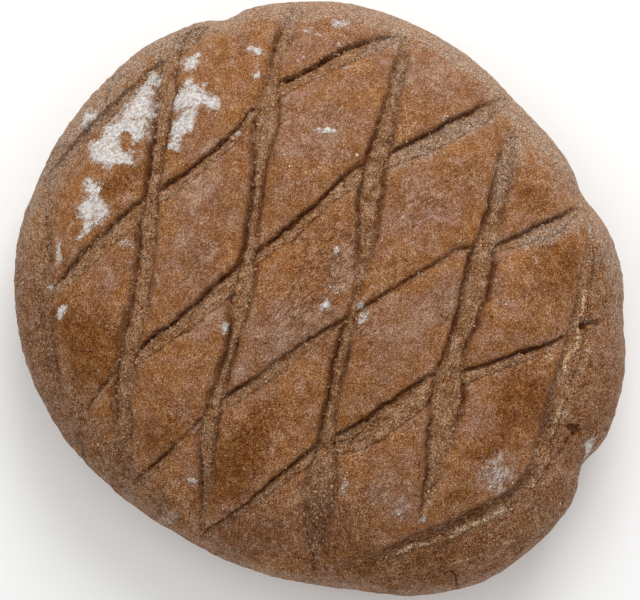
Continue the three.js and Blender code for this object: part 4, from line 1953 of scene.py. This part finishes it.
@dataclass(frozen=True)
class Grains:
    """Loose bits of one kind that lie on the crust, as one mesh of small uneven balls.

    Radii and the stray aside are in millimetres. A few doublings of one ball make all.
    """

    name: str
    finish: GrainFinish
    doublings: int
    smallest: float
    largest: float
    seed: int
    flattest: float = 0.45
    uneven: float = 0.18
    small_bias: float = 2.2
    sunk: float = 0.35
    stray: float = 0.6

    def build(self, skin: "Skin", weight: np.ndarray) -> bpy.types.Object:
        """Scatters the bits over the crust.

        Args:
            skin: the crust's finished points, in metres.
            weight: how readily bits lie at each point.

        Returns:
            The finished piece, riding on the loaf's body.
        """
        bm = bmesh.new()
        bmesh.ops.create_icosphere(bm, subdivisions=1, radius=1.0)
        corners = len(bm.verts)
        for _ in range(self.doublings):
            bmesh.ops.duplicate(bm, geom=bm.verts[:] + bm.edges[:] + bm.faces[:])
        count = len(bm.verts) // corners
        balls = np.array([v.co[:] for v in bm.verts]).reshape(count, corners, 3)
        rng = np.random.default_rng(self.seed)
        rows = rng.choice(len(weight), count, p=weight / weight.sum())
        luck = rng.random(count) ** self.small_bias
        radius = self.smallest * (self.largest / self.smallest) ** luck
        squash = rng.uniform(self.flattest, 1.0, (count, 1, 3))
        uneven = 1 + self.uneven * rng.standard_normal((count, corners, 1))
        turn = np.linalg.qr(rng.standard_normal((count, 3, 3)))[0]
        turn = turn * np.sign(np.linalg.det(turn))[:, None, None]
        bits = np.einsum("nij,nkj->nki", turn, balls * squash * uneven * radius[:, None, None])
        aside = rng.uniform(-self.stray, self.stray, (count, 3))
        outward = skin.normals[rows]
        aside = aside - outward * (aside * outward).sum(1, keepdims=True)
        lift = outward * (radius * self.flattest * (1 - self.sunk))[:, None]
        spots = skin.points[rows] / MM + aside + lift
        place_verts(bm, ((bits + spots[:, None, :]) * MM).reshape(-1, 3))
        piece = to_piece(bm, self.name, self.finish.material())
        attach(piece, BODY)
        log.info("%s: %d bits, %d faces", self.name, count, len(piece.data.polygons))
        return piece


@dataclass
class Skin:
    """The finished crust's points and outward directions, and its vertex values.

    A pair holds where bits begin to lie and where they lie thickest.
    """

    points: np.ndarray
    normals: np.ndarray
    masks: dict[str, np.ndarray]
    flour_slope: tuple[float, float] = (0.25, 0.8)
    flour_dabs: tuple[float, float] = (0.1, 0.9)
    stray_flour: float = 0.0015
    dust_flour: float = 0.015
    crumb_slope: tuple[float, float] = (0.2, 0.7)
    crumb_torn: tuple[float, float] = (0.35, 0.9)
    stray_crumbs: float = 0.01

    def flour_weight(self) -> np.ndarray:
        """Loose flour lies on and beside the dabs, and thinly on the rest of the top."""
        top = smoothstep(*self.flour_slope, self.normals[:, 2])
        dabs = smoothstep(*self.flour_dabs, self.masks["flour"])
        return top * (self.stray_flour + dabs + self.dust_flour * self.masks["dust"])

    def crumb_weight(self) -> np.ndarray:
        """Crumbs lie where the crumb is torn, and a few on the skin."""
        top = smoothstep(*self.crumb_slope, self.normals[:, 2])
        return top * (self.stray_crumbs + smoothstep(*self.crumb_torn, self.masks["torn"]))


FLOUR_GRAINS = Grains(
    name="flour_grains",
    finish=GrainFinish("milled_rye_flour", "#e8e7df", "#c8c2b6"),
    doublings=12,
    smallest=0.13,
    largest=0.42,
    seed=11,
)
SLASH_CRUMBS = Grains(
    name="slash_crumbs",
    finish=GrainFinish("baked_rye_crumb", "#cba98c", "#7d5439"),
    doublings=12,
    smallest=0.18,
    largest=0.75,
    seed=23,
)


# --- studio -----------------------------------------------------------------------------


@dataclass(frozen=True)
class Softbox:
    """A square soft light that faces the loaf: its place and size in metres, and power."""

    name: str
    spot: tuple[float, float, float]
    size: float
    watts: float

    def build(self) -> None:
        """Adds the light."""
        lamp = bpy.data.lights.new(self.name, "AREA")
        lamp.size = self.size
        lamp.energy = self.watts
        piece = bpy.data.objects.new(self.name, lamp)
        piece.location = self.spot
        piece.rotation_euler = (-Vector(self.spot)).to_track_quat("-Z", "Y").to_euler()
        bpy.context.scene.collection.objects.link(piece)


@dataclass
class Studio:
    """Pale floor, soft lights and the camera, almost straight above the loaf.

    The lens and the sensor are in millimetres, and distances in metres.
    """

    lens: float = 100.0
    sensor: float = 36.0
    elevation: float = 80.0
    distance: float = 0.711
    aim_height: float = 0.026
    clip_start: float = 0.01
    floor_size: float = 6.0
    floor_colour: str = "#fafaf9"
    floor_roughness: float = 0.9
    sky: float = 0.72
    softboxes: tuple[Softbox, ...] = (
        Softbox("key_softbox", (0.25, 1.0, 0.85), 0.8, 10.4),
        Softbox("fill_softbox", (-0.9, 0.3, 1.0), 0.9, 1.5),
    )

    def build(self, body: LoafBody) -> None:
        """Adds the floor, the lights and the camera.

        Args:
            body: the loaf, whose middle the camera looks at.
        """
        self.floor()
        world = bpy.data.worlds.new("soft_room")
        world.use_nodes = True
        backdrop = world.node_tree.nodes["Background"]
        backdrop.inputs["Color"].default_value = (1.0, 1.0, 1.0, 1.0)
        backdrop.inputs["Strength"].default_value = self.sky
        scene = bpy.context.scene
        scene.world = world
        scene.view_settings.view_transform = "Standard"
        for softbox in self.softboxes:
            softbox.build()
        self.camera(body)

    def floor(self) -> None:
        """Adds the pale floor."""
        bm = bmesh.new()
        bmesh.ops.create_grid(bm, x_segments=1, y_segments=1, size=self.floor_size / 2)
        paint = bpy.data.materials.new("matt_white_paint")
        paint.use_nodes = True
        shader = paint.node_tree.nodes["Principled BSDF"]
        shader.inputs["Base Color"].default_value = linear(self.floor_colour)
        shader.inputs["Roughness"].default_value = self.floor_roughness
        floor = to_piece(bm, "studio_floor", paint)

    def camera(self, body: LoafBody) -> None:
        """Adds the camera, which looks at the loaf from above its near edge.

        Args:
            body: the loaf, whose middle it looks at.
        """
        made = bpy.data.cameras.new("view")
        made.lens = self.lens
        made.sensor_width = self.sensor
        made.clip_start = self.clip_start
        middle = body.middle()
        aim = Vector((-middle[0] * MM, -middle[1] * MM, self.aim_height))
        rise = math.radians(self.elevation)
        back = Vector((0.0, -math.cos(rise), math.sin(rise)))
        piece = bpy.data.objects.new("view", made)
        piece.location = aim + self.distance * back
        piece.rotation_euler = (-back).to_track_quat("-Z", "Y").to_euler()
        bpy.context.scene.collection.objects.link(piece)
        bpy.context.scene.camera = piece


def main() -> None:
    """Builds the loaf, what lies on it, and the studio."""
    logging.basicConfig(level=logging.INFO, format="%(name)s: %(message)s")
    crust = RyeCrust()
    skin = crust.build()
    FLOUR_GRAINS.build(skin, skin.flour_weight())
    SLASH_CRUMBS.build(skin, skin.crumb_weight())
    Studio().build(crust.body)


if __name__ == "__main__":
    main()
